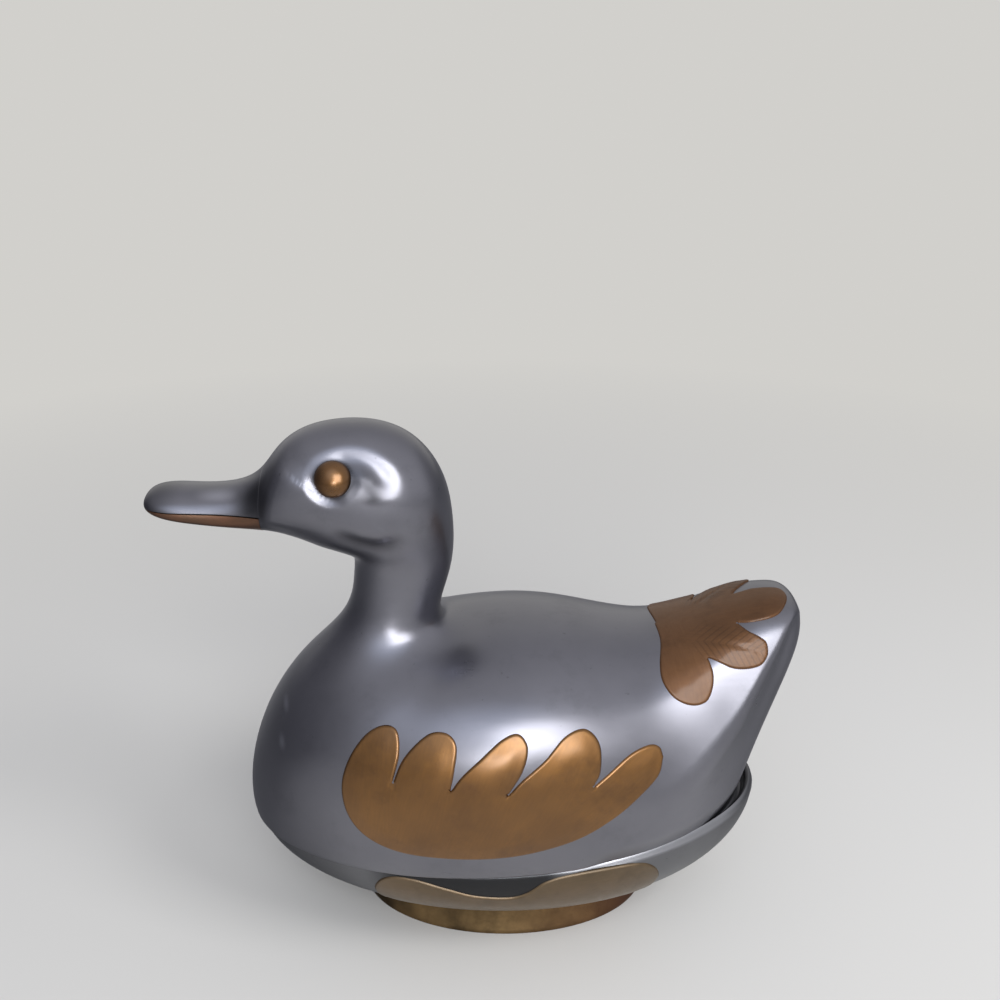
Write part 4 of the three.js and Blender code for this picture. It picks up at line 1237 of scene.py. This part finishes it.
def make_floor():
    """A pale sheet, for the camera and in what the metal mirrors. Past it the studio is grey."""
    mesh = bpy.data.meshes.new("floor")
    half = FLOOR_HALF
    corners = [(-half, -half, 0), (half, -half, 0), (half, half, 0), (-half, half, 0)]
    mesh.from_pydata(corners, [], [(0, 1, 2, 3)])
    floor = add_object("floor", mesh)
    material = bpy.data.materials.new("floor_pale")
    nodes = Nodes(material)
    place = nodes.add("NewGeometry").outputs["Position"]
    off = nodes.vector_math("LENGTH", "Value", place)
    way = nodes.vector_math("NORMALIZE", "Vector", place)
    seen, shown = sheet_rays(nodes, nodes.remap(off, SHEET_REACH, 2 * SHEET_REACH, 1.0, 0.0))
    tone = nodes.mix(shown, STUDIO_FLOOR, FLOOR_COLOUR)
    # Painted shade on the floor toward the left and the rear, for rays other than the camera's
    for azimuth, start, full, colour in FLOOR_SHADES:
        tone = nodes.mix(nodes.facing(way, azimuth, 0, start, full), tone, colour)
    paint = nodes.add("BsdfDiffuse", {"Color": nodes.mix(seen, tone, FLOOR_COLOUR)})
    glow = nodes.add("Emission", {"Color": BACKGROUND})
    far = nodes.times(nodes.remap(off, *FLOOR_FADE), seen)
    blend = nodes.add("MixShader", (far, paint.outputs[0], glow.outputs[0]))
    nodes.add("OutputMaterial", {"Surface": blend.outputs[0]})
    mesh.materials.append(material)


def make_world():
    world = bpy.data.worlds.new("studio")
    bpy.context.scene.world = world
    nodes = Nodes(world)
    ray = nodes.add("TexCoord").outputs["Generated"]
    room = ROOM_DULL
    for azimuth, elevation, start, full, colour in ROOM_PATCHES:
        room = nodes.mix(nodes.facing(ray, azimuth, elevation, start, full), room, colour)
    _, shown = sheet_rays(nodes, nodes.facing(ray, 180, 0, *BACKDROP_SPREAD))
    shade = nodes.mix(shown, room, BACKGROUND)
    background = nodes.add("Background", {"Color": shade, "Strength": 1.0})
    nodes.add("OutputWorld", {"Surface": background.outputs[0]})


def make_lamp(name, azimuth, elevation, size, power, mirrored):
    lamp = bpy.data.lights.new(name, "AREA")
    lamp.shape = "RECTANGLE"
    lamp.size, lamp.size_y = size
    lamp.energy = power
    holder = add_object(name, lamp)
    way = direction(azimuth, elevation)
    holder.location = Vector(LAMP_AIM) + way * LAMP_DISTANCE
    holder.rotation_mode = "QUATERNION"
    holder.rotation_quaternion = (-way).to_track_quat("-Z", "Y")
    holder.visible_camera = False
    holder.visible_glossy = mirrored


def make_camera():
    camera = bpy.data.cameras.new("camera")
    camera.sensor_width = 36.0
    camera.lens = CAMERA_LENS
    camera.clip_start = 0.01
    holder = add_object("camera", camera)
    holder.location = CAMERA_PLACE
    holder.rotation_euler = (math.radians(90 - CAMERA_DOWN), 0, 0)
    bpy.context.scene.camera = holder


make_floor()
make_world()
for lamp in LAMPS:
    make_lamp(*lamp)
make_camera()
bpy.context.scene.view_settings.view_transform = "Standard"
